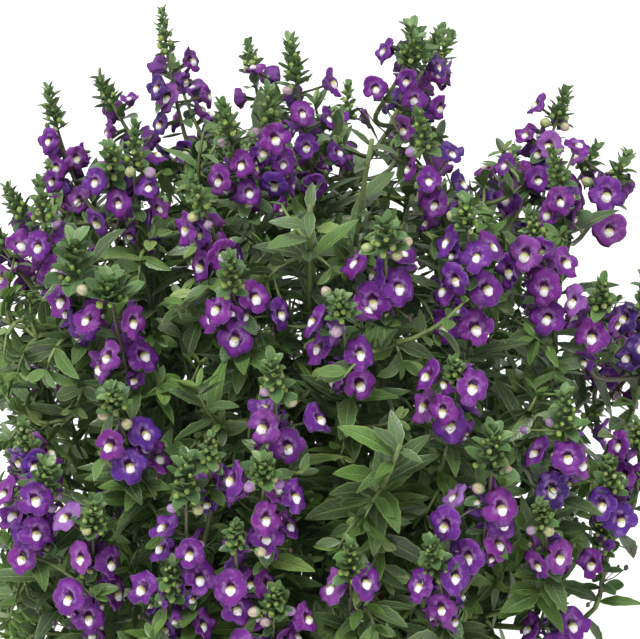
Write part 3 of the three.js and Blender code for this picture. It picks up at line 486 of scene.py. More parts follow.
def backRaceme(bearing, height, length):    # a raceme on the far side
    level = (height - bush["middle"]) / bush["halfHeight"]
    reach = bush["radius"] * math.sqrt(max(0.02, 1 - level * level)) * between(*backPlan["skin"])
    outward = vec(math.cos(bearing), math.sin(bearing), 0)
    tip = vec(0, 0, height) + outward * reach
    least, more, span = backPlan["upright"]
    upright = least + more * min(1, (height - backPlan["bottom"]) / span)
    lean = unit(vec(outward[0] * backPlan["lean"], outward[1] * backPlan["lean"], upright))
    foot = tip - lean * (length * between(*backPlan["stretch"]))
    control = foot + (tip - foot) * 0.5 + outward * (size(tip - foot) * stemPlan["bow"])
    path = Path(foot, control, tip)
    first = between(*backPlan["firstTurn"])
    wanted = []
    for k in range(backPlan["flowers"]):
        share = backPlan["firstFlower"] + (backPlan["flowerSpan"] * k) / (backPlan["flowers"] - 1)
        turn = backPlan["turns"][k % len(backPlan["turns"])] + first + between(*backPlan["turnPlay"])
        axis = path.direction(share)
        arm = turned(squareTo(axis, outward), axis, turn) * flowerPlan["reach"]
        arm[2] += flowerPlan["rise"]
        wanted.append((share, arm))
    look = unit(outward + up * backPlan["look"])
    return {"path": path, "look": look, "wanted": wanted, "wantedBuds": [], "tip": None, "pixels": [],
            "isFar": True}


def forkStalk(main, fork):    # a fork leaves its main raceme near the foot
    start = main["path"].point(stemPlan["forkShare"])
    end = fork["path"].start
    back = size(start - end) * stemPlan["forkBow"]
    return Path(start, end - fork["path"].direction(0) * back, end)


sprays = [[frontRaceme(entry) for entry in entries] for entries in frontSprays]
for k in range(backPlan["sprays"]):
    height = backPlan["top"] - ((backPlan["top"] - backPlan["bottom"]) * (k + 0.5)) / backPlan["sprays"]
    first, last = backPlan["bearings"]
    bearing = math.radians(first + ((k * goldenTurn) % (last - first)))
    level = (height - bush["middle"]) / bush["halfHeight"]
    spread = backPlan["spread"] / (bush["radius"] * math.sqrt(max(0.1, 1 - level * level)))
    main = backRaceme(bearing, height, backPlan["length"])
    lower = backRaceme(bearing + spread, height - between(*backPlan["forkDrop"]), backPlan["forkLength"])
    upper = backRaceme(bearing - spread, height + between(*backPlan["forkLift"]), backPlan["forkLength"])
    sprays.append([main, lower, upper])
for main, *forks in sprays:
    for fork in forks:
        fork["stalk"] = forkStalk(main, fork)


# Stems: sprays and leafy shoots in order around the bush, each run of them on one stem
def makeStem(carried):
    middle = vec(0, 0, 0)
    for end in carried:
        middle = middle + end["place"] * (1 / len(carried))
    outward = unit(vec(middle[0], middle[1], 0))
    root = vec(0, 0, pot["soilTop"] - stemPlan["buried"]) + outward * stemPlan["ring"]
    collar = vec(root[0], root[1], pot["soilTop"] + pot["soilCrown"] + 3)
    rise = middle[2] - collar[2]
    out, lift = stemPlan["control"]
    control = vec(root[0] * out, root[1] * out, collar[2] + rise * lift)
    out, lift = stemPlan["end"]
    path = Path(collar, control, vec(middle[0] * out, middle[1] * out, collar[2] + rise * lift))
    carried = sorted(carried, key=lambda end: end["place"][2])
    branches = []
    for k, end in enumerate(carried):
        share = stemPlan["firstBranch"] + (stemPlan["branchSpan"] * k) / max(1, len(carried) - 1)
        fork = path.point(share)
        drop = (end["place"][2] - pot["height"] - stemPlan["rimClearance"]) / end["lean"][2]
        back = min(size(fork - end["place"]) * stemPlan["branchBend"], max(4, drop))
        bend = end["place"] - end["lean"] * back
        way = squareTo(path.direction(share), bend - fork)
        branchPath = Path(fork + way * (stemPlan["radius"] + 2), bend, end["place"])
        branches.append({"share": share, "way": way, "path": branchPath, "isShoot": end["isShoot"],
                         "leaves": []})
    return {"root": root, "path": path, "branches": branches}


ends = []
for spray in sprays:
    lean = spray[0]["path"].direction(0)
    seat = spray[0]["path"].start - lean * stemPlan["seatGap"]
    ends.append({"place": seat, "lean": lean, "isShoot": False})
for pixel in leafyShoots:
    tip = seenOnSkin(pixel, stemPlan["shootSkin"])
    out, above = stemPlan["shootLean"]
    ends.append({"place": tip, "lean": unit(vec(tip[0] * out, tip[1] * out, above)), "isShoot": True})
ends.sort(key=lambda end: math.atan2(end["place"][1], end["place"][0]))
cuts = [math.floor((k * len(ends)) / stemPlan["count"] + 0.5) for k in range(stemPlan["count"] + 1)]
stems = [makeStem(ends[first:last]) for first, last in zip(cuts, cuts[1:])]

for stem in stems:
    place(stemItem(stem["root"], stem["path"].start, stemPlan["radius"]))
    placePath(stem["path"], stemPlan["radius"])
    for branch in stem["branches"]:
        placePath(branch["path"], stemPlan["branchRadius"])
for spray in sprays:
    for one in spray:
        placePath(one["path"], stemPlan["rachisRadius"])
        if "stalk" in one:
            placePath(one["stalk"], stemPlan["rachisRadius"])
        neck = one["path"].point(1 - headPlan["length"] / one["path"].length)
        place(stemItem(neck, one["path"].end, headPlan["radius"]))


# Flowers and buds at their wanted place, or bent clear of what is there already
def ringPoints(centre, axis, side, radius, sides):
    return [centre + turned(side, axis, 360 * k / sides) * radius for k in range(sides)]


def flowerItem(flower):
    right = unit(cross(up, flower["facing"]))
    above = cross(flower["facing"], right)
    points = []
    for angle, share, forward in flowerOutline:
        reach = flowerPlan["radius"] * share
        aside = right * (reach * math.cos(math.radians(angle)))
        points.append(flower["centre"] + flower["facing"] * forward + aside
                      + above * (reach * math.sin(math.radians(angle))))
    ahead = unit(flower["arm"])
    middle = flower["root"] + flower["arm"] * flowerPlan["farNeckShare" if flower["isFar"] else "neckShare"]
    points += ringPoints(middle, ahead, squareTo(ahead, flower["facing"]), flowerPlan["neckRadius"], 3)
    return makeItem(flower["facing"], points)


def placeFlower(one, share, arm):
    axis = one["path"].direction(share)
    root = one["path"].point(share)
    for stretch in flowerPlan["stretches"]:
        for swing in flowerPlan["swings"]:
            for lift in flowerPlan["lifts"]:
                bent = turned(arm, axis, swing) * stretch
                bent[2] += lift
                facing = unit(bent) * flowerPlan["side"] + one["look"] * flowerPlan["look"]
                facing = unit(facing + up * flowerPlan["lift"])
                flower = {"share": share, "root": root, "arm": bent, "centre": root + bent,
                          "facing": facing, "isFar": one["isFar"]}
                item = flowerItem(flower)
                if isClear(item):
                    place(item)
                    return flower
    return None


def placeBud(one, share, arm):
    axis = one["path"].direction(share)
    root = one["path"].point(share)
    for swing in flowerPlan["swings"]:
        bent = turned(arm, axis, swing)
        ahead = unit(bent)
        centre = root + bent
        points = ringPoints(centre, ahead, squareTo(ahead, up), budPlan["radius"], 4)
        points += [centre + ahead * budPlan["radius"], root + bent * flowerPlan["neckShare"]]
        item = makeItem(ahead, points)
        if isClear(item):
            place(item)
            return {"share": share, "root": root, "arm": bent, "centre": centre}
    return None


for spray in sprays:
    for one in spray:
        one["flowers"] = []
        for k, (share, arm) in enumerate(one["wanted"]):
            flower = placeFlower(one, share, arm)
            if flower:
                flower["pixel"] = one["pixels"][k] if one["pixels"] else None
                one["flowers"].append(flower)
for spray in sprays:
    for one in spray:
        buds = [placeBud(one, share, arm) for share, arm in one["wantedBuds"]]
        one["buds"] = [bud for bud in buds if bud]


# The leaves that are solids
def leafPoint(leaf, share, aside, sunk):
    point = leaf["root"] + leaf["ahead"] * (leaf["length"] * share)
    point[2] -= leafPlan["droop"] * leaf["length"] * share * share
    return point + leaf["across"] * aside - leaf["upper"] * sunk


def placeLeaf(branch, share, turn, length):
    axis = branch["path"].direction(share)
    root = branch["path"].point(share)
    outline = leafPlan["largeOutline" if length > leafPlan["large"] else "smallOutline"]
    half = length * leafPlan["widthShare"] / 2
    for swing in leafPlan["swings"]:
        for rise in leafPlan["rises"]:
            outward = turned(besideAxis(axis), axis, turn + swing)
            ahead = unit(outward + axis * rise)
            across = unit(cross(ahead, axis))
            leaf = {"root": root, "ahead": ahead, "across": across, "upper": cross(across, ahead),
                    "length": length}
            points = []
            for along, right, left in outline:
                points += [leafPoint(leaf, along, half * right, 0),
                           leafPoint(leaf, along, 0, leafPlan["thickness"]),
                           leafPoint(leaf, along, -half * left, 0)]
            points.append(leafPoint(leaf, 1, 0, 0))
            item = makeItem(ahead, points)
            if isClear(item):
                place(item)
                branch["leaves"].append(leaf)
                return


for stem in stems:
    for branch in stem["branches"]:
        places = leafPlan["shootPlaces" if branch["isShoot"] else "branchPlaces"]
        first = between(0, 90)
        for k, distance in enumerate(places):
            share = 1 - distance / branch["path"].length
            if share < leafPlan["from"]:
                continue
            least, more = leafPlan["shootLengths"]
            length = least + more * k if branch["isShoot"] else between(*leafPlan["lengths"])
            placeLeaf(branch, share, first + 90 * k, length)
            if k == 0:
                placeLeaf(branch, share, first + 180, length * between(*leafPlan["secondLeaf"]))
racemes = [one for spray in sprays for one in spray]
print("placed", sum(len(one["flowers"]) for one in racemes), "flowers on", len(racemes), "racemes and",
      sum(len(branch["leaves"]) for stem in stems for branch in stem["branches"]), "solid leaves")


# Shading: a socket that takes part in Python expressions, and a finish that makes its material's nodes.
# The dictionaries below it hold the colours.
class Shade:
    def __init__(self, finish, socket):
        self.finish, self.socket = finish, socket

    def math(self, operation, *values):
        return self.finish.add("ShaderNodeMath", {"operation": operation}, values)

    def __add__(self, other):
        return self.math("ADD", self, other)

    __radd__ = __add__

    def __mul__(self, other):
        return self.math("MULTIPLY", self, other)

    __rmul__ = __mul__

    def __sub__(self, other):
        return self.math("SUBTRACT", self, other)

    def __rsub__(self, other):
        return self.math("SUBTRACT", other, self)

    def __truediv__(self, other):
        return self.math("DIVIDE", self, other)

    def __abs__(self):
        return self.math("ABSOLUTE", self)

    def above(self, value):
        return self.math("GREATER_THAN", self, value)

    def larger(self, other):
        return self.math("MAXIMUM", self, other)

    def sine(self):
        return self.math("SINE", self)

    def root(self):
        return self.math("SQRT", self)

    def rise(self, low, high):    # 0 at low, 1 at high, smooth between
        settings = {"interpolation_type": "SMOOTHSTEP"}
        return self.finish.add("ShaderNodeMapRange", settings, (self, low, high, 0.0, 1.0))

    def fall(self, low, high):
        return 1 - self.rise(low, high)


class Finish:
    def __init__(self, name, **constants):
        self.material = bpy.data.materials.new(name)
        self.material.use_nodes = True
        self.tree = self.material.node_tree
        self.shader = self.tree.nodes["Principled BSDF"]
        for socket, value in constants.items():
            self.shader.inputs[socket.replace("_", " ")].default_value = value

    def add(self, kind, settings=None, values=(), output=0):
        node = self.tree.nodes.new(kind)
        for name, value in (settings or {}).items():
            if name == "stops":
                ramp = node.color_ramp
                while len(ramp.elements) < len(value):
                    ramp.elements.new(0.5)
                for element, (position, colour) in zip(ramp.elements, value):
                    element.position, element.color = position, (*colour, 1)
            else:
                setattr(node, name, value)
        pairs = values.items() if isinstance(values, dict) else enumerate(values)
        for name, value in pairs:
            self.put(node.inputs[name], value)
        return Shade(self, node.outputs[output])

    def put(self, socket, value):
        if isinstance(value, Shade):
            self.tree.links.new(value.socket, socket)
        elif isinstance(value, tuple) and len(value) == 3 and socket.type == "RGBA":
            socket.default_value = (*value, 1)
        else:
            socket.default_value = value

    def mix(self, factor, first, second):    # colours: sockets 6 and 7, and the result 2
        return self.add("ShaderNodeMix", {"data_type": "RGBA"}, {0: factor, 6: first, 7: second}, output=2)

    def tint(self):
        return self.add("ShaderNodeAttribute", {"attribute_name": "tint"}, output="Fac")

    def ramp(self, stops):    # a colour for each tint
        return self.add("ShaderNodeValToRGB", {"stops": stops}, (self.tint(),))

    def uv(self):
        spot = self.add("ShaderNodeTexCoord", output="UV")
        return [self.add("ShaderNodeSeparateXYZ", None, (spot,), axis) for axis in (0, 1)]

    def noise(self, scale, detail=2.0):
        spot = self.add("ShaderNodeTexCoord", output="Object")
        return self.add("ShaderNodeTexNoise", None, {"Vector": spot, "Scale": scale, "Detail": detail})

    def finish(self, colour, roughness=None, height=None, depth=0.0003):
        self.put(self.shader.inputs["Base Color"], colour)
        if roughness is not None:
            self.put(self.shader.inputs["Roughness"], roughness)
        if height is not None:
            bump = self.add("ShaderNodeBump", None, {"Height": height, "Distance": depth, "Strength": 1.0})
            self.put(self.shader.inputs["Normal"], bump)
        return self.material


petalLook = {
    # indigo: the dark end of the flowers' tints and the colour of their veins, also the painted shade in
    # creases and on flowers in shade
    "indigo": (0.024, 0.012, 0.066),
    "violet": (0.085, 0.020, 0.230),
    "purple": (0.135, 0.016, 0.215),
    "magenta": (0.185, 0.018, 0.215),
    # lavender: the pale end of the flowers' tints, also the painted highlight in sheen patches and in
    # glints at the rims
    "lavender": (0.40, 0.22, 0.54),
    "pit": (0.035, 0.004, 0.026),
    "throat": (0.36, 0.20, 0.46),
}


def makePetalFinish():
    skin = Finish("petal", Roughness=0.5, Specular_IOR_Level=0.2)
    u, v = skin.uv()
    isBack = u.above(1.5)
    x = (u - isBack * 2) * 2 - 1
    y = v * 2 - 1
    reach = (x * x + y * y).root()
    # the flower's tint picks its colour from indigo to lavender; its dark end is painted shade, for flowers
    # that sit in shade
    stops = ((0, "indigo"), (0.3, "violet"), (0.55, "purple"), (0.8, "magenta"), (1, "lavender"))
    base = skin.ramp([(spot, petalLook[name]) for spot, name in stops])
    patchNoise = skin.noise(230, 3)
    # painted shade: patches darkened towards violet, and broader ones towards indigo, stand in for the
    # shade in the petals' creases
    base = skin.mix(patchNoise.rise(0.4, 0.8) * 0.45, base, petalLook["violet"])
    base = skin.mix(skin.noise(90, 2).rise(0.5, 0.7) * 0.45, base, petalLook["indigo"])
    # painted highlight: pale lavender patches stand in for the petals' soft sheen
    base = skin.mix(patchNoise.fall(0.3, 0.5) * 0.25, base, petalLook["lavender"])
    # a pale lavender line along the petals' rims, partly their own pale edge and partly a painted
    # highlight, the glints where the edges fold
    base = skin.mix(reach.rise(0.88, 1.0) * patchNoise.rise(0.3, 0.6) * 0.5, base, petalLook["lavender"])
    angle = skin.add("ShaderNodeMath", {"operation": "ARCTAN2"}, (y, x))
    veins = (angle * 26).sine().rise(0.2, 1) * reach.rise(0.25, 0.5)
    base = skin.mix(veins * 0.14, base, petalLook["indigo"])
    blotch = skin.noise(420, 2)
    cheek = reach.fall(0.36, 0.6) * (1 - isBack) * blotch.rise(0.4, 0.56)
    base = skin.mix(cheek * 0.6, base, petalLook["throat"])
    pitX = x / 0.3
    pitY = (y - 0.08) / 0.28
    pit = (pitX * pitX + pitY * pitY + blotch * 1.4).fall(0.9, 1.6) * (1 - isBack)
    base = skin.mix(pit * 0.85, base, petalLook["pit"])
    base = skin.mix(isBack * 0.2, base, petalLook["throat"])
    return skin.finish(base, patchNoise.rise(0.2, 0.8) * 0.2 + 0.42, veins * 0.4 + patchNoise)


lipLook = {
    "white": (0.80, 0.76, 0.78),
    "yellow": (0.42, 0.42, 0.12),
    "edge": (0.10, 0.03, 0.09),
    "speckle": (0.22, 0.08, 0.16),
}


def makeLipFinish():
    skin = Finish("lip", Roughness=0.5)
    u, v = skin.uv()
    speckle = skin.noise(700, 2)
    base = skin.mix((v + speckle * 0.2).rise(0.62, 0.84), lipLook["white"], lipLook["yellow"])
    base = skin.mix(v.rise(0.76, 0.95), base, lipLook["edge"])
    base = skin.mix(speckle.rise(0.56, 0.68) * v.rise(0.3, 0.6) * 0.6, base, lipLook["speckle"])
    return skin.finish(base, 0.4 + speckle * 0.2, speckle, 0.0002)


budLook = {
    "stops": ((0, (0.09, 0.18, 0.045)), (0.35, (0.30, 0.46, 0.08)), (0.6, (0.50, 0.40, 0.29)),
              (0.8, (0.34, 0.19, 0.42)), (1, (0.2, 0.05, 0.28))),
    "streak": (0.14, 0.1, 0.08),
    "tip": (0.42, 0.36, 0.26),
}


def makeBudFinish():
    skin = Finish("bud", Roughness=0.5, Specular_IOR_Level=0.4)
    u, v = skin.uv()
    base = skin.ramp(budLook["stops"])
    streak = (u * 31.4).sine().rise(0.1, 1)
    base = skin.mix(streak * 0.25, base, budLook["streak"])
    base = skin.mix(v.rise(0.6, 1) * 0.3, base, budLook["tip"])
    return skin.finish(base, 0.42 + skin.noise(500) * 0.2, streak, 0.0002)


leafLook = {    # dark, fresh, bright and pale
    "bract": ((0.042, 0.090, 0.034), (0.085, 0.170, 0.064), (0.130, 0.250, 0.072), (0.32, 0.46, 0.20)),
    # the leaves' dark end also carries the painted shade of leaves deep in the bush
    "leaf": ((0.030, 0.060, 0.022), (0.082, 0.145, 0.054), (0.112, 0.230, 0.040), (0.30, 0.42, 0.13)),
}


def makeLeafFinish(name):
    dark, fresh, bright, pale = leafLook[name]
    skin = Finish(name, Roughness=0.4, Specular_IOR_Level=0.6)
    u, v = skin.uv()
    aside = abs(u - 0.5) * 2
    base = skin.ramp(((0, dark), (0.4, fresh), (0.75, bright), (1, pale)))
    patchNoise = skin.noise(160, 3)
    base = skin.mix(patchNoise.rise(0.4, 0.75) * 0.35, base, dark)
    midrib = aside.fall(0.03, 0.16)
    veins = (v * 60 - aside * 9).sine().rise(0.7, 1) * aside.fall(0.7, 1.0)
    base = skin.mix((midrib * 0.4).larger(veins * 0.2), base, pale)
    base = skin.mix(aside.rise(0.78, 1) * 0.45, base, pale)
    height = midrib * 0.8 - veins * 0.5 + patchNoise * 0.6
    return skin.finish(base, 0.3 + patchNoise.rise(0.3, 0.8) * 0.2, height, 0.0005)


stemLook = {
    "stops": ((0, (0.06, 0.032, 0.04)), (0.45, (0.10, 0.13, 0.045)), (1, (0.20, 0.29, 0.085))),
    "streak": (0.09, 0.05, 0.045),
}


def makeStemFinish():
    skin = Finish("stem", Roughness=0.5)
    streak = skin.noise(420, 2)
    base = skin.mix(streak.rise(0.45, 0.7) * 0.35, skin.ramp(stemLook["stops"]), stemLook["streak"])
    return skin.finish(base, 0.45 + streak * 0.2, streak)


clayLook = {
    "deep": (0.42, 0.165, 0.085),
    "light": (0.53, 0.235, 0.13),
    "bloom": (0.62, 0.45, 0.36),
    "darkFoot": (0.26, 0.12, 0.08),
}


def makeClayFinish():
    skin = Finish("firedClay", Roughness=0.85)
    spot = skin.add("ShaderNodeTexCoord", output="Object")
    height = skin.add("ShaderNodeSeparateXYZ", None, (spot,), 2)
    cloud = skin.noise(14, 4)
    grain = skin.noise(700, 3)
    rings = (height * 900 + cloud * 5).sine()
    base = skin.mix(cloud.rise(0.3, 0.7), clayLook["deep"], clayLook["light"])
    bloom = (cloud * 0.5 + skin.noise(60, 4) * 0.7).rise(0.62, 0.78)
    base = skin.mix(bloom * 0.35, base, clayLook["bloom"])
    # darker over the lowest 20 mm of the pot
    base = skin.mix(height.fall(0.0, 0.02) * 0.5, base, clayLook["darkFoot"])
    return skin.finish(base, 0.75 + grain * 0.2, grain * 0.6 + rings * 0.12, 0.0005)


soilLook = {
    "dark": (0.018, 0.012, 0.008),
    "brown": (0.07, 0.045, 0.028),
    "fleck": (0.2, 0.16, 0.12),
    "perlite": (0.62, 0.6, 0.56),
}


def makeSoilFinish():
    skin = Finish("pottingSoil", Roughness=0.95)
    crumb = skin.noise(180, 5)
    fleck = skin.noise(620, 2)
    base = skin.mix(crumb.rise(0.3, 0.7), soilLook["dark"], soilLook["brown"])
    base = skin.mix(fleck.rise(0.66, 0.74) * 0.6, base, soilLook["fleck"])
    base = skin.mix(skin.tint().above(0.5), base, soilLook["perlite"])
    return skin.finish(base, 0.85 + crumb * 0.15, crumb + fleck * 0.4, 0.002)


floorLook = {"deep": (0.93, 0.93, 0.93), "light": (0.96, 0.96, 0.96)}


def makeFloorFinish():
    skin = Finish("paleFloor", Roughness=0.8)
    cloud = skin.noise(1.5, 2)
    return skin.finish(skin.mix(cloud, floorLook["deep"], floorLook["light"]))


stemSkin = makeStemFinish()
flowerSkins = [makePetalFinish(), makeLipFinish(), makeBudFinish(), makeLeafFinish("bract"), stemSkin]
leafSkins = [makeLeafFinish("leaf"), stemSkin]
petalSlot, lipSlot, budSlot, bractSlot, stalkSlot = range(5)
leafSlot, stemSlot = range(2)
print("finishes made")


# Shapes that are repeated: each is modelled once, and then set in place many times
def startShape():
    bm = bmesh.new()
    bm.loops.layers.uv.new("UVMap")
    return bm


def paint(bm, faces, slot, spotOf):    # gives faces their finish, and a place on it for each corner
    layer = bm.loops.layers.uv.verify()
    for face in faces:
        face.material_index = slot
        for loop in face.loops:
            loop[layer].uv = spotOf(loop.vert, face)


def facesOf(verts):
    return {face for vert in verts for face in vert.link_faces}


class Shape:
    def __init__(self, bm):
        layer = bm.loops.layers.uv.verify()
        bm.verts.index_update()
        self.points = np.array([vert.co for vert in bm.verts])
        self.corners = np.array([vert.index for face in bm.faces for vert in face.verts])
        self.sizes = np.array([len(face.verts) for face in bm.faces])
        self.slots = np.array([face.material_index for face in bm.faces])
        self.spots = np.array([loop[layer].uv for face in bm.faces for loop in face.loops])
        bm.free()


def growRing(bm, ring, spotOf):    # extrudes a closed ring of edges, and moves the new points
    edges = [edge for edge in {e for v in ring for e in v.link_edges} if set(edge.verts) <= set(ring)]
    grown = bmesh.ops.extrude_edge_only(bm, edges=edges)["geom"]
    ring = [item for item in grown if isinstance(item, bmesh.types.BMVert)]
    for vert in ring:
        vert.co = spotOf(vert.co.copy())
    return ring


petals = {    # mm, where a note says nothing else
    "openSides": 26,    # points round the edge
    "turnedSides": 18,
    "lobes": (    # degrees, half the width in degrees, and reach
        (60, 46, 0.98), (120, 46, 0.98), (-13, 38, 1.0), (193, 38, 1.0), (270, 40, 1.02)),
    "lobeTurns": (-6, 6),    # how far a flower's own lobes are off those, in degrees and as shares
    "lobeWidths": (0.92, 1.12),
    "lobeReaches": (0.88, 1.0),
    "furthest": 1.03,
    "notch": 0.36,    # how deep the lobes part, as a share of their reach
    "leans": (-2.6, 2.6),    # how far a lobe bends back or forward
    "rings": (0.52, 0.8, 1.0),    # where a petal has points, as shares of its reach
    "dome": 0.9,
    "waves": (4, 9),    # how many go round the edge
    "waveStarts": (0, 6.3),    # radians
    "wavePowers": (0.3, 1),
    "waveReach": 0.018,    # how far they move the edge out, as a share of its reach
    "ruffle": 1.0,    # and forward
    "throat": (2.3, 2.3),    # half width and half height
    "throatRise": 0.7,
    "throatDepth": 1.7,
    "lip": (2.7, 3.0, 2.0),    # half its width, height and thickness
    "lipPlay": (0.8, 1.12),
    "lipPlace": (0, -1.8, 0.3),
    "tubeLength": 5.4,
    "calyx": (1.0, 2.3, 2.4),    # its two radii and its length
    "closedNarrow": 0.45,    # how much narrower a closed flower is, as a share
    "closedReach": (7, 2.5),    # how far its lobes and its lip reach forward
    "foldedNarrow": 0.25,
}
openKinds = (    # how far each shape folds and closes
    (0, 0), (0.12, 0), (0.05, 0.14), (0.25, 0.05), (0.15, 0.22), (0.05, 0), (0.3, 0.12), (0, 0.08))
turnedKinds = ((0.45, 0), (0.3, 0.35), (0.6, 0.2), (0.2, 0.75))


def addCalyx(bm, form, height):    # a cone with five sides
    low, high, length = form
    calyx = bmesh.ops.create_cone(bm, segments=5, radius1=low, radius2=high, depth=length,
                                  cap_ends=True)["verts"]
    bmesh.ops.translate(bm, vec=(0, 0, height), verts=calyx)
    paint(bm, facesOf(calyx), bractSlot, lambda vert, face: (0.3, 0.5))


def nearestLobe(lobes, degrees):    # the lobe that reaches furthest at an angle, and how far it does
    best, reach = 0, 0
    for k, (middle, half, length) in enumerate(lobes):
        off = abs((degrees - middle + 180) % 360 - 180) / half
        if off < 1.45 and length * (1 - petals["notch"] * off ** 4) > reach:
            best, reach = k, length * (1 - petals["notch"] * off ** 4)
    return best, reach


def makeFlower(seed, sides, fold, closing):
    draw = seededRandom(seed)
    waves = [(round(draw(*petals["waves"])), draw(*petals["waveStarts"]), draw(*petals["wavePowers"]))
             for _ in range(3)]
    leans = [draw(*petals["leans"]) for _ in petals["lobes"]]
    lobes = [(middle + draw(*petals["lobeTurns"]), half * draw(*petals["lobeWidths"]),
              length * draw(*petals["lobeReaches"])) for middle, half, length in petals["lobes"]]
    radius, rise = flowerPlan["radius"], petals["throatRise"]
    wide, tall = petals["throat"]
    bm = startShape()
    flat = {}

    def petalSpot(angle, share):
        lobe, reach = nearestLobe(lobes, math.degrees(angle))
        ripple = sum(power * math.sin(count * angle + turn) for count, turn, power in waves)
        reach = min(petals["furthest"], reach * (1 + petals["waveReach"] * ripple)) * radius * share
        x, y = reach * math.cos(angle), reach * math.sin(angle) + rise * (1 - share)
        z = petals["dome"] * math.sin(share * math.pi) + leans[lobe] * max(0, share - 0.5) * 1.6
        z += ripple * petals["ruffle"] * share * share
        z += petals["closedReach"][0] * closing * share * share
        z -= fold * abs(x)
        shrink = 1 - petals["closedNarrow"] * closing * share
        return Vector((x * shrink * (1 - petals["foldedNarrow"] * fold), y * shrink, z))

    ring = bmesh.ops.create_circle(bm, segments=sides, radius=1)["verts"]
    angles = {}
    for vert in ring:
        angles[vert] = math.atan2(vert.co.y, vert.co.x)
        vert.co = Vector((wide * math.cos(angles[vert]), tall * math.sin(angles[vert]) + rise, -0.4))
        flat[vert] = (vert.co.x, vert.co.y)
    throat = ring
    for share in petals["rings"]:
        last = set(ring)
        ring = growRing(bm, ring, lambda co: co)
        for vert in ring:
            below = next(e.other_vert(vert) for e in vert.link_edges if e.other_vert(vert) in last)
            angles[vert] = angles[below]
            vert.co = petalSpot(angles[vert], share)
            flat[vert] = (radius * share * math.cos(angles[vert]), radius * share * math.sin(angles[vert]))
    front = set(bm.faces)
    ring = growRing(bm, ring, lambda co: Vector((co.x * 0.6, co.y * 0.6, co.z * 0.4 - 1.6)))
    ring = growRing(bm, ring, lambda co: Vector((co.x * 0.55, co.y * 0.55, -petals["tubeLength"])))
    bmesh.ops.contextual_create(bm, geom=ring)
    back = set(bm.faces) - front
    inner = growRing(bm, throat, lambda co: Vector((co.x * 0.7, co.y * 0.75, -petals["throatDepth"])))
    bmesh.ops.contextual_create(bm, geom=inner)
    bmesh.ops.recalc_face_normals(bm, faces=bm.faces)

    def petalUv(vert, face):
        x, y = flat.get(vert, (vert.co.x, vert.co.y))
        return x / radius / 2 + (2.5 if face in back else 0.5), y / radius / 2 + 0.5

    paint(bm, bm.faces, petalSlot, petalUv)
    lip = bmesh.ops.create_icosphere(bm, subdivisions=2, radius=1)["verts"]
    x, y, z = petals["lipPlace"]
    for vert in lip:
        vert.co = vert.co * Vector(petals["lip"]) * draw(*petals["lipPlay"])
        vert.co += Vector((x, y, z + petals["closedReach"][1] * closing))
    paint(bm, facesOf(lip), lipSlot, lambda vert, face: (vert.co.x / 6 + 0.5, (vert.co.y + 4.8) / 6.2))
    addCalyx(bm, petals["calyx"], -petals["tubeLength"])
    return Shape(bm)


budForm = {"tall": 1.15, "calyx": (0.5, 1.15, 0.9), "calyxHeight": -0.75}


def makeBud():    # a round bud of unit radius that grows along Z, in a small calyx
    bm = startShape()
    bmesh.ops.create_uvsphere(bm, u_segments=8, v_segments=6, radius=1)
    bmesh.ops.scale(bm, vec=(1, 1, budForm["tall"]), verts=bm.verts)
    paint(bm, bm.faces, budSlot, lambda vert, face: (math.atan2(vert.co.y, vert.co.x) / math.tau + 0.5,
                                                     vert.co.z / 2.4 + 0.5))
    addCalyx(bm, budForm["calyx"], budForm["calyxHeight"])
    return Shape(bm)


def makeBead(slot):    # a bud that hasn't swollen yet, or a seed pod
    bm = startShape()
    bmesh.ops.create_icosphere(bm, subdivisions=1, radius=1)
    bmesh.ops.scale(bm, vec=(1, 1, 1.2), verts=bm.verts)
    paint(bm, bm.faces, slot, lambda vert, face: (vert.co.x / 2 + 0.5, vert.co.z / 2.4 + 0.5))
    return Shape(bm)


bladeKinds = {    # each form is a width, belly, fold, droop, twist and bend
    "bract": {"rows": 5, "blunt": 0.5, "teeth": 0, "forms": (
        (0.52, 1.0, 0.5, -0.1, 0, 0), (0.6, 1.15, 0.5, 0.2, 0, 0.08),
        (0.68, 1.2, 0.6, -0.25, 0, -0.08), (0.56, 1.1, 0.4, -0.2, 0, -0.05))},
    "longLeaf": {"rows": 9, "blunt": 0.75, "teeth": 0.14, "forms": (
        (0.31, 0.82, 0.3, 0.16, 0, 0), (0.34, 0.88, 0.2, 0.3, 0.4, 0.05),
        (0.29, 0.8, 0.35, 0.06, -0.4, -0.07), (0.36, 0.9, 0.15, 0.24, 0.25, -0.1),
        (0.33, 0.85, 0.25, -0.05, -0.15, 0.08))},
    "smallLeaf": {"rows": 5, "blunt": 0.62, "teeth": 0, "forms": (
        (0.42, 1.1, 0.3, 0.2, 0.2, 0), (0.5, 1.2, 0.2, 0.3, -0.3, 0.08), (0.38, 1.0, 0.35, 0, 0.1, -0.08))},
}
toothed = {"from": 0.3, "to": 0.95, "back": 0.02}    # where a leaf has teeth, and how far they slope


# Leaves or bracts of unit length along Y: belly moves the widest place, blunt rounds the blade off, teeth
# are the notches of its edge
def makeBlades(slot, kind):
    kind = bladeKinds[kind]
    return [makeBlade(slot, kind["rows"], kind["blunt"], kind["teeth"], *form) for form in kind["forms"]]


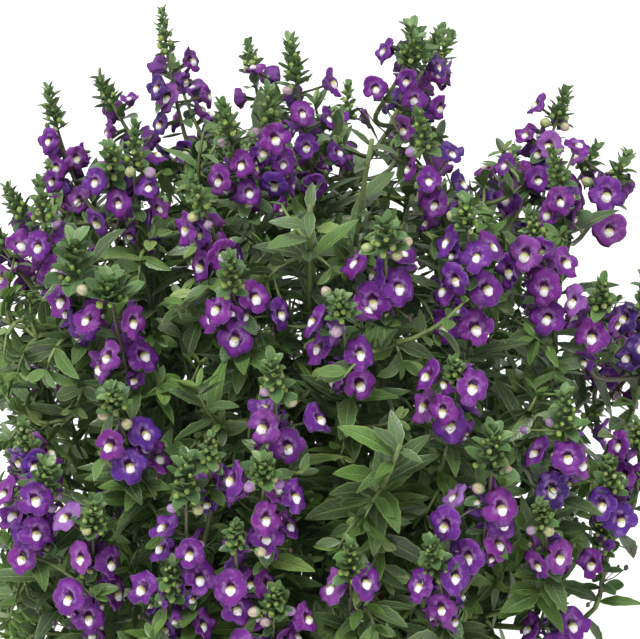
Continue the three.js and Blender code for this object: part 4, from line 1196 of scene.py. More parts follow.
def makeBlade(slot, rows, blunt, teeth, width, belly, fold, droop, twist, bend):
    bm = startShape()
    bmesh.ops.create_grid(bm, x_segments=2, y_segments=rows, size=1)
    steps = {}
    for vert in bm.verts:
        row, aside = (vert.co.y + 1) / 2, vert.co.x
        along = 1 - (1 - row) ** 1.3
        steps[vert] = (aside / 2 + 0.5, along)
        half = width / 2 * max(0.01, math.sin(math.pi * min(1, along) ** belly)) ** blunt
        if teeth and round(row * rows) % 2 and toothed["from"] < along < toothed["to"]:
            half *= 1 + teeth
            along -= toothed["back"]
        x = aside * half
        z = fold * abs(x) - droop * along * along
        lean = twist * along
        vert.co = Vector((x * math.cos(lean) + bend * along * along, along, z + x * math.sin(lean)))
    bmesh.ops.recalc_face_normals(bm, faces=bm.faces)
    if sum(face.normal.z for face in bm.faces) < 0:
        bmesh.ops.reverse_faces(bm, faces=bm.faces)
    paint(bm, bm.faces, slot, lambda vert, face: steps[vert])
    return Shape(bm)


def makeTube(sides, spans):    # a straight tube along Z, with a ring at each whole height
    bm = startShape()
    ring = bmesh.ops.create_circle(bm, segments=sides, radius=1)["verts"]
    bmesh.ops.contextual_create(bm, geom=ring)
    for k in range(spans):
        ring = growRing(bm, ring, lambda co: co + Vector((0, 0, 1)))
    bmesh.ops.contextual_create(bm, geom=ring)
    bmesh.ops.recalc_face_normals(bm, faces=bm.faces)
    paint(bm, bm.faces, 0, lambda vert, face: (0.5, vert.co.z / spans))
    return Shape(bm)


openFlowers = [makeFlower(11 + 7 * k, petals["openSides"], *kind) for k, kind in enumerate(openKinds)]
turnedFlowers = [makeFlower(83 + 5 * k, petals["turnedSides"], *kind) for k, kind in enumerate(turnedKinds)]
budShape = makeBud()
beadShape = makeBead(budSlot)
podShape = makeBead(stalkSlot)
bractShapes = makeBlades(bractSlot, "bract")
longLeaves = makeBlades(leafSlot, "longLeaf")
smallLeaves = makeBlades(leafSlot, "smallLeaf")
tubeShapes = {(sides, spans): makeTube(sides, spans)
              for sides, spans in ((4, 2), (4, 4), (5, 5), (5, 9), (6, 10), (8, 10))}
print("shapes modelled")


# Growing the pieces
class Piece:
    def __init__(self, name, skins):
        self.name, self.skins, self.parts = name, skins, []

    def stamp(self, shape, spot, right, ahead, upper, scale, tint):
        points = (shape.points @ np.array((right, ahead, upper)) * scale + spot) * mm
        self.parts.append((shape, points, tint, shape.slots))

    def add(self, shape):    # as it is
        self.parts.append((shape, shape.points * mm, 0.0, shape.slots))

    def tube(self, path, radii, sides, slot, tint, before=None):    # a tube along a path
        spans = len(radii) - 1
        shape = tubeShapes[sides, spans]
        spots = [path.point(k / spans) for k in range(spans + 1)]
        if before is not None:
            spots = [before] + [path.point(k / (spans - 1)) for k in range(spans)]
        ways = [unit(b - a) for a, b in zip(spots, spots[1:])]
        ways.append(ways[-1])
        side = besideAxis(ways[0])
        rings = []
        for spot, way, radius in zip(spots, ways, radii):
            side = squareTo(way, side)
            rings.append((side * radius, cross(way, side) * radius, spot))
        rings = np.array(rings)[np.round(shape.points[:, 2]).astype(int)]
        points = rings[:, 0] * shape.points[:, :1] + rings[:, 1] * shape.points[:, 1:2] + rings[:, 2]
        self.parts.append((shape, points * mm, tint, shape.slots + slot))

    def finish(self, nodes, slotName):
        shapes = [part[0] for part in self.parts]
        counts = [len(part[1]) for part in self.parts]
        firsts = np.cumsum([0] + counts)
        points = np.concatenate([part[1] for part in self.parts])
        corners = np.concatenate([shape.corners + first for shape, first in zip(shapes, firsts)])
        sizes = np.concatenate([shape.sizes for shape in shapes])
        mesh = bpy.data.meshes.new(self.name)
        mesh.vertices.add(len(points))
        mesh.vertices.foreach_set("co", points.astype(np.float32).ravel())
        mesh.loops.add(len(corners))
        mesh.loops.foreach_set("vertex_index", corners.astype(np.int32))
        mesh.polygons.add(len(sizes))
        mesh.polygons.foreach_set("loop_start", (np.cumsum(sizes) - sizes).astype(np.int32))
        slots = np.concatenate([part[3] for part in self.parts])
        mesh.polygons.foreach_set("material_index", slots.astype(np.int32))
        mesh.polygons.foreach_set("use_smooth", np.ones(len(sizes), bool))
        spots = np.concatenate([shape.spots for shape in shapes]).astype(np.float32)
        mesh.uv_layers.new(name="UVMap").data.foreach_set("uv", spots.ravel())
        tints = np.repeat([part[2] for part in self.parts], counts).astype(np.float32)
        mesh.attributes.new("tint", "FLOAT", "POINT").data.foreach_set("value", tints)
        mesh.update(calc_edges=True)
        return addObject(self.name, mesh, self.skins, nodes, slotName)


def addObject(name, mesh, skins, nodes, slotName):
    piece = bpy.data.objects.new(name, mesh)
    bpy.context.scene.collection.objects.link(piece)
    for skin in skins:
        mesh.materials.append(skin)
    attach(piece, "root")
    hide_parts(*nodes)
    return piece


vary = seededRandom(2024)


def pick(shapes):
    return shapes[int(vary(0, len(shapes) - 0.001))]


def addBlade(piece, shapes, root, ahead, upperWish, length, tint):    # a leaf or bract from its root
    upper = squareTo(ahead, upperWish)
    piece.stamp(pick(shapes), root, cross(ahead, upper), ahead, upper, length, tint)


# What the eye sees: blooms that nothing may hide, and where a point is in the picture
bloomRoom = {"behind": -3, "ahead": 32, "aside": 9.5}    # mm
blooms = [(flower["centre"], flower["facing"]) for one in racemes for flower in one["flowers"]]
bloomSpots = np.array([spot for spot, _ in blooms])
bloomWays = np.array([way for _, way in blooms])


# Whether a spot is in a flower, or in the way of the eye that looks into it
def hidesBloom(spot, margin=bloomRoom["aside"]):
    away = spot - bloomSpots
    ahead = (away * bloomWays).sum(axis=1)
    aside = np.sqrt(np.maximum(0, (away * away).sum(axis=1) - ahead * ahead))
    isBetween = (ahead > bloomRoom["behind"]) & (ahead < bloomRoom["ahead"])
    return bool(np.any(isBetween & (aside < margin)))


def pixelOf(spot):
    tilt = math.radians(camera["tilt"])
    away = spot - eye
    ahead = away[1] * math.cos(tilt) - away[2] * math.sin(tilt)
    above = away[1] * math.sin(tilt) + away[2] * math.cos(tilt)
    scale = camera["focal"] / ahead
    return camera["pictureMiddle"][0] + away[0] * scale, camera["pictureMiddle"][1] - above * scale


openings = (    # where the picture shows the background: middle, half width and half height in pixels
    (622, 240, 36, 54), (590, 410, 14, 36), (628, 612, 64, 72), (560, 318, 15, 40), (366, 92, 22, 72),
    (475, 90, 34, 70), (108, 85, 20, 70), (240, 60, 22, 62), (610, 60, 40, 84), (30, 60, 60, 90),
    (630, 540, 24, 34), (342, 176, 18, 18), (400, 206, 11, 14), (464, 166, 16, 20), (524, 206, 14, 18),
    (14, 336, 6, 8), (262, 214, 14, 8), (590, 205, 14, 14), (18, 205, 24, 26), (520, 634, 26, 22),
    (370, 170, 14, 22), (585, 270, 16, 18), (112, 140, 12, 14), (180, 122, 22, 22), (300, 60, 26, 24),
)


def isOpen(spot):
    x, y = pixelOf(spot)
    return any(((x - u) / w) ** 2 + ((y - v) / h) ** 2 < 1 for u, v, w, h in openings)


def skinShare(spot):
    return size((spot - bushMiddle) / bushSize)


oddFlowers = {    # flowers that stand out in the picture: the dark ones are painted shade, darkened where they sit in shade; the violet ones are bluer, the pale ones paler
    "dark": [(157, 87), (160, 117), (160, 142), (437, 58), (450, 165), (462, 183), (395, 175),
             (625, 310), (638, 330), (628, 365), (552, 474)],
    "violet": [(38, 447), (602, 489), (388, 95), (615, 507), (145, 433), (126, 452)],
    "pale": [(335, 338), (573, 295), (67, 532), (455, 496), (549, 145)],
}
# the dark tint is painted shade, near the indigo end of the petal colours
flowerTints = {"dark": 0.12, "violet": 0.32, "pale": 0.9, "oddPlay": (-0.04, 0.04), "usual": (0.45, 0.84)}


def tintOf(flower):
    for kind, pixels in oddFlowers.items():
        if flower["pixel"] in pixels:
            return flowerTints[kind] + vary(*flowerTints["oddPlay"])
    return vary(*flowerTints["usual"])


racemeLook = {
    "rachisTint": (0.15, 0.6),
    "rachisTip": 0.6,    # mm
    "grow": (0.9, 1.08),    # of the flowers that are solids
    "highFrom": 425,    # mm, above which the flowers are smaller
    "highGrow": 0.8,
    "farGrow": 0.74,    # of the flowers at the back and at the top
    "roll": (-25, 25),    # degrees
    "asidePlay": (-0.25, 0.25),    # how far a flower looks aside, and up or down
    "upPlay": (-0.2, 0.2),
    "widths": (0.86, 1.04),
    "flowerBack": 6.3,    # mm from a flower's middle to its pedicel
    "flowerBract": (15, 8),    # mm, low and high on the raceme
    "bractPlay": (0.8, 1.25),
    "bractTint": (0.1, 0.6),
    "budGrow": (0.85, 1.1),
    "budTint": (0.45, 0.95),
    "fillers": 9,    # flowers added round a raceme, behind the ones that are solids
    "farFillers": 4,
    "fillerGrow": (0.68, 0.96),
    "fillerReach": (5, 10),
    "fillerRise": (0, 5),
    "fillerLook": (-0.2, 0.5),    # how far one looks at the eye, and up or down
    "fillerLift": (-0.3, 0.35),
    "fillerRoll": (-30, 30),
    "fillerTint": (0.3, 0.85),
    "fillerBractTint": (0.1, 0.7),
    "fillerBack": 6,
    "fillerMargin": 11,    # mm that it keeps from the way into a bloom
    "fillerGap": 7,    # mm between its middle and a bloom's
    "openShare": 0.35,
    "pods": 4,    # seed pods below the flowers
    "podsUpTo": 0.2,    # how high on the rachis
    "podReach": (8, 19),
    "podRise": (-2, 4),
    "podRadii": (1.0, 1.6),
    "podTint": (0, 0.3),
    "podStalk": 0.6,    # its thickness, as a share of a flower's pedicel
}
headLook = {
    "length": 24,
    "grow": (0.85, 1.15),
    "bracts": 24,
    "bractLengths": (10.5, 6.2),    # mm, from the foot of the head to its tip
    "bractPlay": (0.75, 1.2),
    "bractTint": (0.25, 0.75),
    "tipLighter": 0.25,
    "beads": 22,    # buds that haven't swollen yet
    "highBeads": 17,
    "beadRadii": (1.85, 1.0),
    "beadReach": (5.2, 3.6),    # mm from the rachis at the foot, and how much less at the tip
    "beadRise": 2.5,
    "beadTint": (0, 0.45),
}
bigHeads = {    # tip pixels of the racemes with large heads
    (413, 32): 1.3, (75, 245): 1.5, (110, 283): 1.5, (187, 458): 1.5, (493, 433): 1.5,
    (385, 225): 1.4, (263, 462): 1.2, (48, 468): 1.3, (272, 362): 1.3, (565, 395): 1.2, (112, 392): 1.2,
}


def setFlower(piece, shapes, centre, facing, roll, grow, tint):
    right = turned(unit(cross(up, facing)), facing, roll)
    facing = unit(facing + right * vary(*racemeLook["asidePlay"]) + up * vary(*racemeLook["upPlay"]))
    right = squareTo(facing, right)
    ahead = cross(facing, right)
    piece.stamp(pick(shapes), centre, right * vary(*racemeLook["widths"]), ahead, facing, grow, tint)


def addPedicel(piece, root, arm, back, tint, thick=1.0):
    bow = root + unit(arm) * (size(back - root) * 0.5) - up * 0.6
    piece.tube(Path(root, bow, back), (0.75 * thick, 0.6 * thick, 0.7 * thick), 4, stalkSlot, tint)


def flowerGrowth(one, flower):
    grow = vary(*racemeLook["grow"])
    if flower["centre"][2] <= racemeLook["highFrom"]:
        return grow
    return grow * racemeLook["highGrow" if one["tip"] else "farGrow"]


def addFlower(piece, one, flower, tallest, stalkTint):    # a bloom that is a solid, with its bract
    grow = flowerGrowth(one, flower)
    roll = vary(*racemeLook["roll"])
    setFlower(piece, openFlowers, flower["centre"], flower["facing"], roll, grow, tintOf(flower))
    back = flower["centre"] - flower["facing"] * racemeLook["flowerBack"] * grow
    addPedicel(piece, flower["root"], flower["arm"], back, stalkTint)
    low, high = racemeLook["flowerBract"]
    axis = one["path"].direction(flower["share"])
    ahead = unit(unit(flower["arm"]) + axis * 0.3 - up * 0.5)
    length = (low + (high - low) * flower["share"] / tallest) * vary(*racemeLook["bractPlay"])
    root = flower["root"] - axis * 1.5
    addBlade(piece, bractShapes, root, ahead, axis + up * 0.2, length, vary(*racemeLook["bractTint"]))


def addFiller(piece, one, share, turn, stalkTint):    # a smaller flower that looks aside, and its bract
    axis = one["path"].direction(share)
    root = one["path"].point(share)
    outward = turned(squareTo(axis, one["look"]), axis, turn)
    arm = outward * vary(*racemeLook["fillerReach"]) + up * vary(*racemeLook["fillerRise"])
    centre = root + arm
    low, high = racemeLook["flowerBract"]
    ahead = unit(outward + axis * 0.2 - up * 0.4)
    if not hidesBloom(root + ahead * 10):
        length = vary(high, low)
        tint = vary(*racemeLook["fillerBractTint"])
        addBlade(piece, bractShapes, root, ahead, axis + up * 0.2, length, tint)
    gaps = np.sqrt(((centre - bloomSpots) ** 2).sum(axis=1))
    isTaken = hidesBloom(centre, racemeLook["fillerMargin"]) or np.any(gaps < racemeLook["fillerGap"])
    if isTaken or isOpen(centre):
        return
    look = one["look"] * vary(*racemeLook["fillerLook"])
    facing = unit(outward * 0.9 + look + up * vary(*racemeLook["fillerLift"]))
    grow = vary(*racemeLook["fillerGrow"])
    shapes = turnedFlowers if vary() > racemeLook["openShare"] else openFlowers
    roll = vary(*racemeLook["fillerRoll"])
    setFlower(piece, shapes, centre, facing, roll, grow, vary(*racemeLook["fillerTint"]))
    addPedicel(piece, root, arm, centre - facing * racemeLook["fillerBack"] * grow, stalkTint)


def addPod(piece, one, stalkTint):
    share = vary(0.0, racemeLook["podsUpTo"])
    axis = one["path"].direction(share)
    root = one["path"].point(share)
    outward = turned(besideAxis(axis), axis, vary(0, 360))
    centre = root + outward * vary(*racemeLook["podReach"]) + up * vary(*racemeLook["podRise"])
    if hidesBloom(centre):
        return
    addPedicel(piece, root, outward, centre, stalkTint, racemeLook["podStalk"])
    radius = vary(*racemeLook["podRadii"])
    piece.stamp(podShape, centre, outward, cross(up, outward), up, radius, vary(*racemeLook["podTint"]))


def addBud(piece, bud, stalkTint):
    ahead = unit(bud["arm"])
    side = besideAxis(ahead)
    addPedicel(piece, bud["root"], bud["arm"], bud["centre"] - ahead * 2, stalkTint)
    radius = budPlan["radius"] * vary(*racemeLook["budGrow"])
    tint = vary(*racemeLook["budTint"])
    piece.stamp(budShape, bud["centre"], side, cross(ahead, side), ahead, radius, tint)


def growRaceme(piece, one):
    path = one["path"]
    thick, thin = stemPlan["rachisRadius"], racemeLook["rachisTip"]
    stalkTint = vary(*racemeLook["rachisTint"])
    piece.tube(path, [thick + (thin - thick) * k / 9 for k in range(10)], 5, stalkSlot, stalkTint)
    if "stalk" in one:
        piece.tube(one["stalk"], [thick] * 6, 5, stalkSlot, stalkTint)
    tallest = max([0.35] + [item["share"] for item in one["flowers"]])
    for flower in one["flowers"]:
        addFlower(piece, one, flower, tallest, stalkTint)
    turn = vary(0, 360)
    fillers = racemeLook["fillers" if one["tip"] else "farFillers"]
    for k in range(fillers):
        addFiller(piece, one, tallest * (k + 0.6) / fillers, turn + goldenTurn * k, stalkTint)
    for k in range(racemeLook["pods"]):
        addPod(piece, one, stalkTint)
    for bud in one["buds"]:
        addBud(piece, bud, stalkTint)
    growHead(piece, one)


# The leafy head: small bracts in a spiral round the rachis, with round green buds between them
def growHead(piece, one):
    path = one["path"]
    tallest = max([0.5] + [item["share"] for item in one["flowers"] + one["buds"]])
    headLength = min(headLook["length"], max(headPlan["length"], (1 - tallest) * path.length + 3))
    grow = vary(*headLook["grow"]) * bigHeads.get(one["tip"], 1)
    turn = vary(0, 360)
    first, last = headLook["bractLengths"]
    for k in range(headLook["bracts"]):
        rise = k / (headLook["bracts"] - 1)
        share = 1 - headLength * (1 - rise) / path.length
        axis = path.direction(share)
        outward = turned(besideAxis(axis), axis, turn + goldenTurn * k)
        length = (first + (last - first) * rise ** 0.7) * grow * vary(*headLook["bractPlay"])
        ahead = unit(outward * (1 - 0.4 * rise) + axis * (0.2 + 0.55 * rise))
        tint = vary(*headLook["bractTint"]) + headLook["tipLighter"] * rise
        addBlade(piece, bractShapes, path.point(share), ahead, axis, length, tint)
    thick, thin = headLook["beadRadii"]
    reach, less = headLook["beadReach"]
    beads = headLook["highBeads" if path.end[2] > racemeLook["highFrom"] else "beads"]
    for k in range(beads):
        rise = (k + 0.5) / beads
        share = 1 - headLength * (1.05 - rise) / path.length
        axis = path.direction(share)
        outward = turned(besideAxis(axis), axis, turn + 60 + goldenTurn * k)
        away = (reach - less * rise) * grow * vary(0.8, 1.1)
        centre = path.point(share) + outward * away + axis * headLook["beadRise"]
        radius = (thick + (thin - thick) * rise) * vary(0.8, 1.2)
        tint = vary(*headLook["beadTint"])
        piece.stamp(beadShape, centre, outward, cross(axis, outward), axis, radius, tint)


# Foliage: twigs reach from the branches to places spread evenly through the bush, and carry leaves
foliage = {
    "stemTint": (0.35, 0.6),
    "branchTint": (0.35, 0.85),
    "branchRadius": 1.9,
    "branchLengths": (20, 33),    # mm, of the leaves on a branch
    "branchSpacing": 8,    # mm between leaf pairs
    "branchFrom": 0.12,    # where on a branch its leaves begin
    "turnPlay": (-12, 12),
    "leafTint": (0.0, 0.72),
    "paintedDepthShade": (0.75, 0.5),    # painted shade by depth: from which share of the skin leaves are lighter, darker below it, and how much
    "rareLight": (0.95, 0.35),
    "leafPlay": (0.85, 1.15),
    "leafRise": (0.2, 0.9),
    "longFrom": 17,    # mm, above which a leaf is long and toothed
    "swings": (0, 35, -35),    # turns that a leaf tries, where something is in its way
    "twigTint": (0.5, 1),
    "twigRadii": (1.4, 1.25, 1.1, 0.9, 0.6),
    "twigLengths": (12, 78),
    "twigSpacing": 8,
    "twigTurnPlay": (-15, 15),
    "twigLeaves": (27, 14),    # mm, from the foot of a twig to its tip
    "twigGrow": (0.6, 1.3),
    "leastLeaf": 11,
    "rosette": 6,
    "rosetteLengths": (13, 5),    # mm, of the first leaf, and how much shorter the last is
    "rosetteTint": (0.45, 0.95),
    "targets": 900,    # places in the bush that twigs grow to
    "targetTurn": 137.508,
    "shell": (0.42, 0.93),    # how deep in the bush they are
    "top": 0.84,    # how near the skin leaves come, high up
    "reach": 0.95,    # and lower down
    "topFrom": 420,
    "skirt": 170,    # twigs that hang over the rim
    "skirtRing": (92, 178),
    "skirtHeights": (148, 240),
    "hem": 138,
    "edgePixels": (    # where the picture's left and lower edges show foliage
        (12, 575), (30, 600), (10, 620), (48, 630), (25, 640), (70, 645), (110, 640), (8, 545),
        (150, 640), (35, 560), (60, 610), (200, 640), (18, 595), (90, 620), (6, 300), (20, 318),
        (8, 330), (30, 345), (4, 355), (18, 372), (30, 300), (5, 395), (25, 415), (40, 430),
        (10, 440), (45, 330), (2, 318), (14, 350)),
    "edgeDepths": (-40, -85, 10),    # mm behind the pot's middle
}


def isInBush(spot):
    limit = foliage["top"] if spot[2] > foliage["topFrom"] else foliage["reach"]
    if spot[2] > bush["middle"]:
        return skinShare(spot) < limit and not isOpen(spot)
    inside = math.hypot(spot[0], spot[1]) < bush["radius"] * limit and spot[2] > foliage["hem"]
    return inside and not isOpen(spot)


def addLeaf(piece, shapes, root, ahead, axis, length, tint):
    droop = up * (leafPlan["droop"] * length)
    tip = root + ahead * length - droop
    middle = root + ahead * length * 0.55 - droop * 0.3
    if not isInBush(tip) or isOpen(middle) or not isClearOfPot(tip) or not isClearOfPot(middle):
        return False
    if hidesBloom(tip) or hidesBloom(middle) or hidesBloom(root + ahead * length * 0.8):
        return False
    addBlade(piece, shapes, root, ahead, axis * 0.7 + up * 0.6, length, tint)
    return True


# A leaf's tint, with painted shade by depth: leaves deep in the bush are darker, those near its skin
# lighter
def leafTint(spot):
    outer, depthShadeStep = foliage["paintedDepthShade"]
    rare, light = foliage["rareLight"]
    tint = vary(*foliage["leafTint"]) + (skinShare(spot) - outer) * depthShadeStep
    if vary() > rare:
        tint += light
    return min(1, max(0, tint))


def addLeafPair(piece, path, share, turn, length):
    axis = path.direction(share)
    root = path.point(share)
    shapes = longLeaves if length > foliage["longFrom"] else smallLeaves
    for half in (0, 180):
        for swing in foliage["swings"]:
            outward = turned(besideAxis(axis), axis, turn + half + swing)
            ahead = unit(outward + axis * vary(*foliage["leafRise"]))
            grown = length * vary(*foliage["leafPlay"])
            if addLeaf(piece, shapes, root, ahead, axis, grown, leafTint(root)):
                break


sprigs = []    # where a twig may start: place, the number of its stem
pieces = [Piece(f"foliage_{k + 1:02d}", leafSkins) for k in range(len(stems))]


def growBranches(number, stem):
    piece = pieces[number]
    radii = [stemPlan["radius"] * (1 - 0.04 * k) for k in range(11)]
    piece.tube(stem["path"], radii, 8, stemSlot, vary(*foliage["stemTint"]), before=stem["root"])
    for k in range(3, 10):
        sprigs.append((stem["path"].point(k / 10), number))
    radii = [foliage["branchRadius"] - 0.05 * k for k in range(11)]
    for branch in stem["branches"]:
        path = branch["path"]
        fork = stem["path"].point(branch["share"])
        piece.tube(path, radii, 6, stemSlot, vary(*foliage["branchTint"]), before=fork)
        for leaf in branch["leaves"]:
            tint = leafTint(leaf["root"])
            addBlade(piece, longLeaves, leaf["root"], leaf["ahead"], leaf["upper"], leaf["length"], tint)
        places = int(path.length * (1 - foliage["branchFrom"]) / foliage["branchSpacing"])
        for k in range(places):
            share = 1 - (k + 0.7) * foliage["branchSpacing"] / path.length
            turn = 90 * k + vary(*foliage["turnPlay"])
            addLeafPair(piece, path, share, turn, vary(*foliage["branchLengths"]))
        for k in range(2, 20):
            sprigs.append((path.point(k / 20), number))


def nearestSprig(end):    # the best place for a twig to start: near, and further in than its end
    starts = np.array([spot for spot, _ in sprigs])
    gaps = np.sqrt(((starts - end) ** 2).sum(axis=1))
    outer = np.sqrt((((starts - bushMiddle) / bushSize) ** 2).sum(axis=1)) > skinShare(end)
    best = int(np.argmin(gaps + outer * 40 + (gaps < foliage["twigLengths"][0]) * 1000))
    return sprigs[best], gaps[best]


def growTwig(end):
    (root, number), gap = nearestSprig(end)
    if gap > foliage["twigLengths"][1]:
        return
    outward = unit(vec(end[0], end[1], 0))
    arch = 0.22 if end[2] < root[2] else -0.12
    bend = (root + end) / 2 + (up * arch + outward * 0.12) * gap
    twig = Path(root, bend, end)
    if not all(isClearOfPot(twig.point(k / 6)) for k in range(7)) or isOpen(twig.point(0.6)):
        return
    piece = pieces[number]
    piece.tube(twig, foliage["twigRadii"], 4, stemSlot, vary(*foliage["twigTint"]))
    sprigs.append((twig.point(0.6), number))
    places = max(1, int(twig.length * 0.85 / foliage["twigSpacing"]))
    long, short = foliage["twigLeaves"]
    grow = vary(*foliage["twigGrow"])
    for k in range(places):
        share = 1 - (k + 0.4) * foliage["twigSpacing"] / twig.length
        length = short + (long - short) * min(1, (k + 0.5) / 3)
        turn = 90 * k + vary(*foliage["twigTurnPlay"])
        addLeafPair(piece, twig, max(0.08, share), turn, max(foliage["leastLeaf"], length * grow))
    axis = twig.direction(1)
    first, less = foliage["rosetteLengths"]
    for k in range(foliage["rosette"]):
        rise = k / foliage["rosette"]
        outward = turned(besideAxis(axis), axis, goldenTurn * k)
        ahead = unit(outward + axis * (0.4 + rise))
        length = (first - less * rise) * grow
        addLeaf(piece, smallLeaves, end, ahead, axis, length, vary(*foliage["rosetteTint"]))


def bushTargets():    # spread evenly over the bush and its depth, over the hem, and at the picture's edges
    spots = []
    for k in range(foliage["targets"]):
        level = 1 - 2 * (k + 0.5) / foliage["targets"]
        bearing = math.radians(foliage["targetTurn"] * k)
        flat = math.sqrt(1 - level * level)
        way = vec(flat * math.cos(bearing), flat * math.sin(bearing), level)
        spots.append(bushMiddle + bushSize * way * vary(*foliage["shell"]))
    for k in range(foliage["skirt"]):
        bearing = math.radians(foliage["targetTurn"] * k)
        ring = vary(*foliage["skirtRing"])
        height = vary(*foliage["skirtHeights"])
        spots.append(vec(ring * math.cos(bearing), ring * math.sin(bearing), height))
    for pixel in foliage["edgePixels"]:
        for depth in foliage["edgeDepths"]:
            spots.append(seenAtDepth(pixel, depth))
    fitting = [spot for spot in spots if isInBush(spot) and isClearOfPot(spot) and not hidesBloom(spot)]
    return sorted(fitting, key=skinShare)


for k, spray in enumerate(sprays):
    piece = Piece(f"flowers_{k + 1:02d}", flowerSkins)
    for one in spray:
        growRaceme(piece, one)
    piece.finish([f"raceme_{k + 1:02d}"], "flowers")
print("racemes grown")
for k, stem in enumerate(stems):
    growBranches(k, stem)
for spot in bushTargets():
    growTwig(spot)
for k, piece in enumerate(pieces):
    piece.finish([f"leafy_stem_{k + 1:02d}"], "greenery")
print("foliage grown, with", len(sprigs), "places where twigs start")


# The pot: its wall is spun from a half profile, and the drain holes are cut through its floor
potLook = {
    "steps": 80,
    "soilSteps": 64,
    "soilRings": 14,
    "soilPlay": (-1.1, 0.9),    # mm
    "crumbs": 260,
    "crumbSize": (0.8, 2.4),
    "crumbPlay": (0.75, 1.2),
    "perlite": 0.12,    # the share of the crumbs that are white
}


def potRadius(height):
    share = min(1, height / (pot["height"] - pot["rimDepth"]))
    return pot["baseRadius"] + (pot["rimRadius"] - pot["wall"] - pot["baseRadius"]) * share


def spinProfile(bm, profile, steps):
    verts = [bm.verts.new((radius, 0, height)) for radius, height in profile]
    edges = [bm.edges.new(pair) for pair in zip(verts, verts[1:])]
    bmesh.ops.spin(bm, geom=verts + edges, cent=(0, 0, 0), axis=(0, 0, 1), angle=math.tau, steps=steps,
                   use_merge=True)
    bmesh.ops.remove_doubles(bm, verts=bm.verts, dist=0.001)
    bmesh.ops.recalc_face_normals(bm, faces=bm.faces)


def makePot():
    band, top, rim = pot["height"] - pot["rimDepth"], pot["height"], pot["rimRadius"]
    inner = rim - pot["wall"]
    profile = [(0, 0), (pot["baseRadius"] - 2, 0), (pot["baseRadius"] - 0.5, 0.6), (pot["baseRadius"], 2.2)]
    profile += [(potRadius(band * k / 6), band * k / 6) for k in range(1, 6)]
    profile += [(potRadius(band), band - 0.8), (potRadius(band) + 1.2, band), (rim - 2, band + 0.4),
                (rim - 1, band + 1.6), (rim - 0.3, top - 6), (rim, top - 3.5), (rim - 0.6, top - 1.4),
                (rim - 2, top - 0.3), (rim - 3.4, top), (inner + 2.2, top), (inner + 0.8, top - 0.4),
                (inner, top - 1.6)]
    floor = potRadius(pot["floor"]) - pot["wall"]
    profile += [(floor + (inner - floor) * (1 - k / 5), top - 2 + (pot["floor"] - top + 2) * k / 5)
                for k in range(1, 5)]
    profile += [(floor, pot["floor"] + 1.5), (floor - 2, pot["floor"]), (0, pot["floor"])]
    bm = startShape()
    spinProfile(bm, profile, potLook["steps"])
    shell = Piece("clayPot", [makeClayFinish()])
    shell.add(Shape(bm))
    shell = shell.finish(["pot"], "pot")
    bm = startShape()
    for k in range(pot["drainCount"]):
        drill = bmesh.ops.create_cone(bm, cap_ends=True, segments=24, radius1=pot["drainRadius"] * mm,
                                      radius2=pot["drainRadius"] * mm, depth=0.04)["verts"]
        bearing = math.tau * k / pot["drainCount"]
        spot = Vector((math.cos(bearing), math.sin(bearing), 0)) * pot["drainDistance"] * mm
        bmesh.ops.translate(bm, vec=spot, verts=drill)
    mesh = bpy.data.meshes.new("drills")
    bm.to_mesh(mesh)
    bm.free()
    drills = bpy.data.objects.new("drills", mesh)
    bpy.context.scene.collection.objects.link(drills)
    cut = shell.modifiers.new("drain", "BOOLEAN")
    cut.object, cut.operation, cut.solver = drills, "DIFFERENCE", "EXACT"
    bpy.context.view_layer.update()
    drained = bpy.data.meshes.new_from_object(shell.evaluated_get(bpy.context.evaluated_depsgraph_get()))
    shell.modifiers.clear()
    shell.data = drained
    bpy.data.objects.remove(drills)


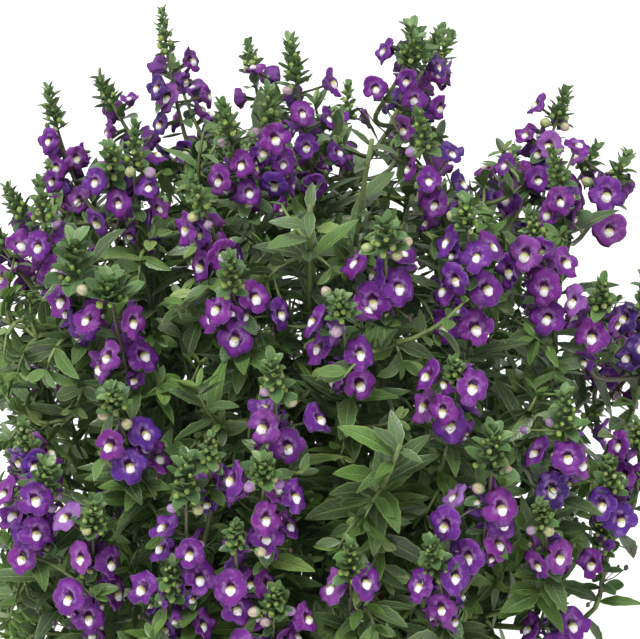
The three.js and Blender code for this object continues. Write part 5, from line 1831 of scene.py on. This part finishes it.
def makeSoil():
    edge = potRadius(pot["floor"]) - pot["wall"]
    inner = pot["rimRadius"] - pot["wall"]
    share = (pot["soilTop"] - pot["floor"]) / (pot["height"] - 2 - pot["floor"])
    wide = edge + (inner - edge) * share - 0.3
    profile = [(0, pot["floor"] + 0.4), (edge - 2.5, pot["floor"] + 0.4), (wide, pot["soilTop"])]
    rings = potLook["soilRings"]
    for k in range(1, rings + 1):
        reach = wide * (1 - k / rings)
        profile.append((reach, pot["soilTop"] + pot["soilCrown"] * (1 - (reach / wide) ** 2)))
    bm = startShape()
    spinProfile(bm, profile, potLook["soilSteps"])
    draw = seededRandom(31)
    for vert in bm.verts:
        if vert.co.z > pot["soilTop"] + 0.1 and vert.co.xy.length < wide - 3:
            vert.co.z += draw(*potLook["soilPlay"])
    soil = Piece("pottingSoil", [makeSoilFinish()])
    soil.add(Shape(bm))
    clod = startShape()
    bmesh.ops.create_icosphere(clod, subdivisions=1, radius=1)
    for vert in clod.verts:
        vert.co *= draw(*potLook["crumbPlay"])
    clod = Shape(clod)
    for k in range(potLook["crumbs"]):
        reach, bearing = (wide - 4) * math.sqrt(draw()), draw(0, math.tau)
        grow = draw(*potLook["crumbSize"])
        height = pot["soilTop"] + pot["soilCrown"] * (1 - (reach / wide) ** 2) + grow * 0.2
        spot = vec(reach * math.cos(bearing), reach * math.sin(bearing), height)
        side = vec(math.cos(bearing * 7), math.sin(bearing * 7), 0)
        isPerlite = draw() < potLook["perlite"]
        soil.stamp(clod, spot, side, cross(up, side), up * 0.7, grow, float(isPerlite))
    soil.finish(["soil"], "soil")


makePot()
makeSoil()
print("pot and soil made")

studio = {
    "floor": 60,    # metres across
    "worldStrength": 0.84,
    "sunStrength": 2.5,
    "sunAngle": 30,
    "sunTurn": (38, 6, -24),    # degrees
    "clipEnd": 100,    # metres
}


def makeStudio():
    bm = bmesh.new()
    bmesh.ops.create_grid(bm, x_segments=2, y_segments=2, size=studio["floor"] / 2)
    mesh = bpy.data.meshes.new("floor")
    bm.to_mesh(mesh)
    bm.free()
    floor = bpy.data.objects.new("floor", mesh)
    bpy.context.scene.collection.objects.link(floor)
    mesh.materials.append(makeFloorFinish())
    world = bpy.data.worlds.new("studio")
    bpy.context.scene.world = world
    world.use_nodes = True
    world.node_tree.nodes["Background"].inputs["Color"].default_value = (1, 1, 1, 1)
    world.node_tree.nodes["Background"].inputs["Strength"].default_value = studio["worldStrength"]
    lamp = bpy.data.lights.new("softLight", "SUN")
    lamp.energy = studio["sunStrength"]
    lamp.angle = math.radians(studio["sunAngle"])
    sun = bpy.data.objects.new("softLight", lamp)
    sun.rotation_euler = [math.radians(turn) for turn in studio["sunTurn"]]
    bpy.context.scene.collection.objects.link(sun)
    lens = bpy.data.cameras.new("camera")
    lens.sensor_width = camera["sensor"]
    lens.lens = camera["focal"] / camera["pictureWidth"] * camera["sensor"]
    lens.clip_end = studio["clipEnd"]
    viewer = bpy.data.objects.new("camera", lens)
    viewer.location = Vector(camera["eye"]) * mm
    viewer.rotation_euler = (math.radians(90 - camera["tilt"]), 0, 0)
    bpy.context.scene.collection.objects.link(viewer)
    bpy.context.scene.camera = viewer
    bpy.context.scene.view_settings.view_transform = "Standard"


makeStudio()
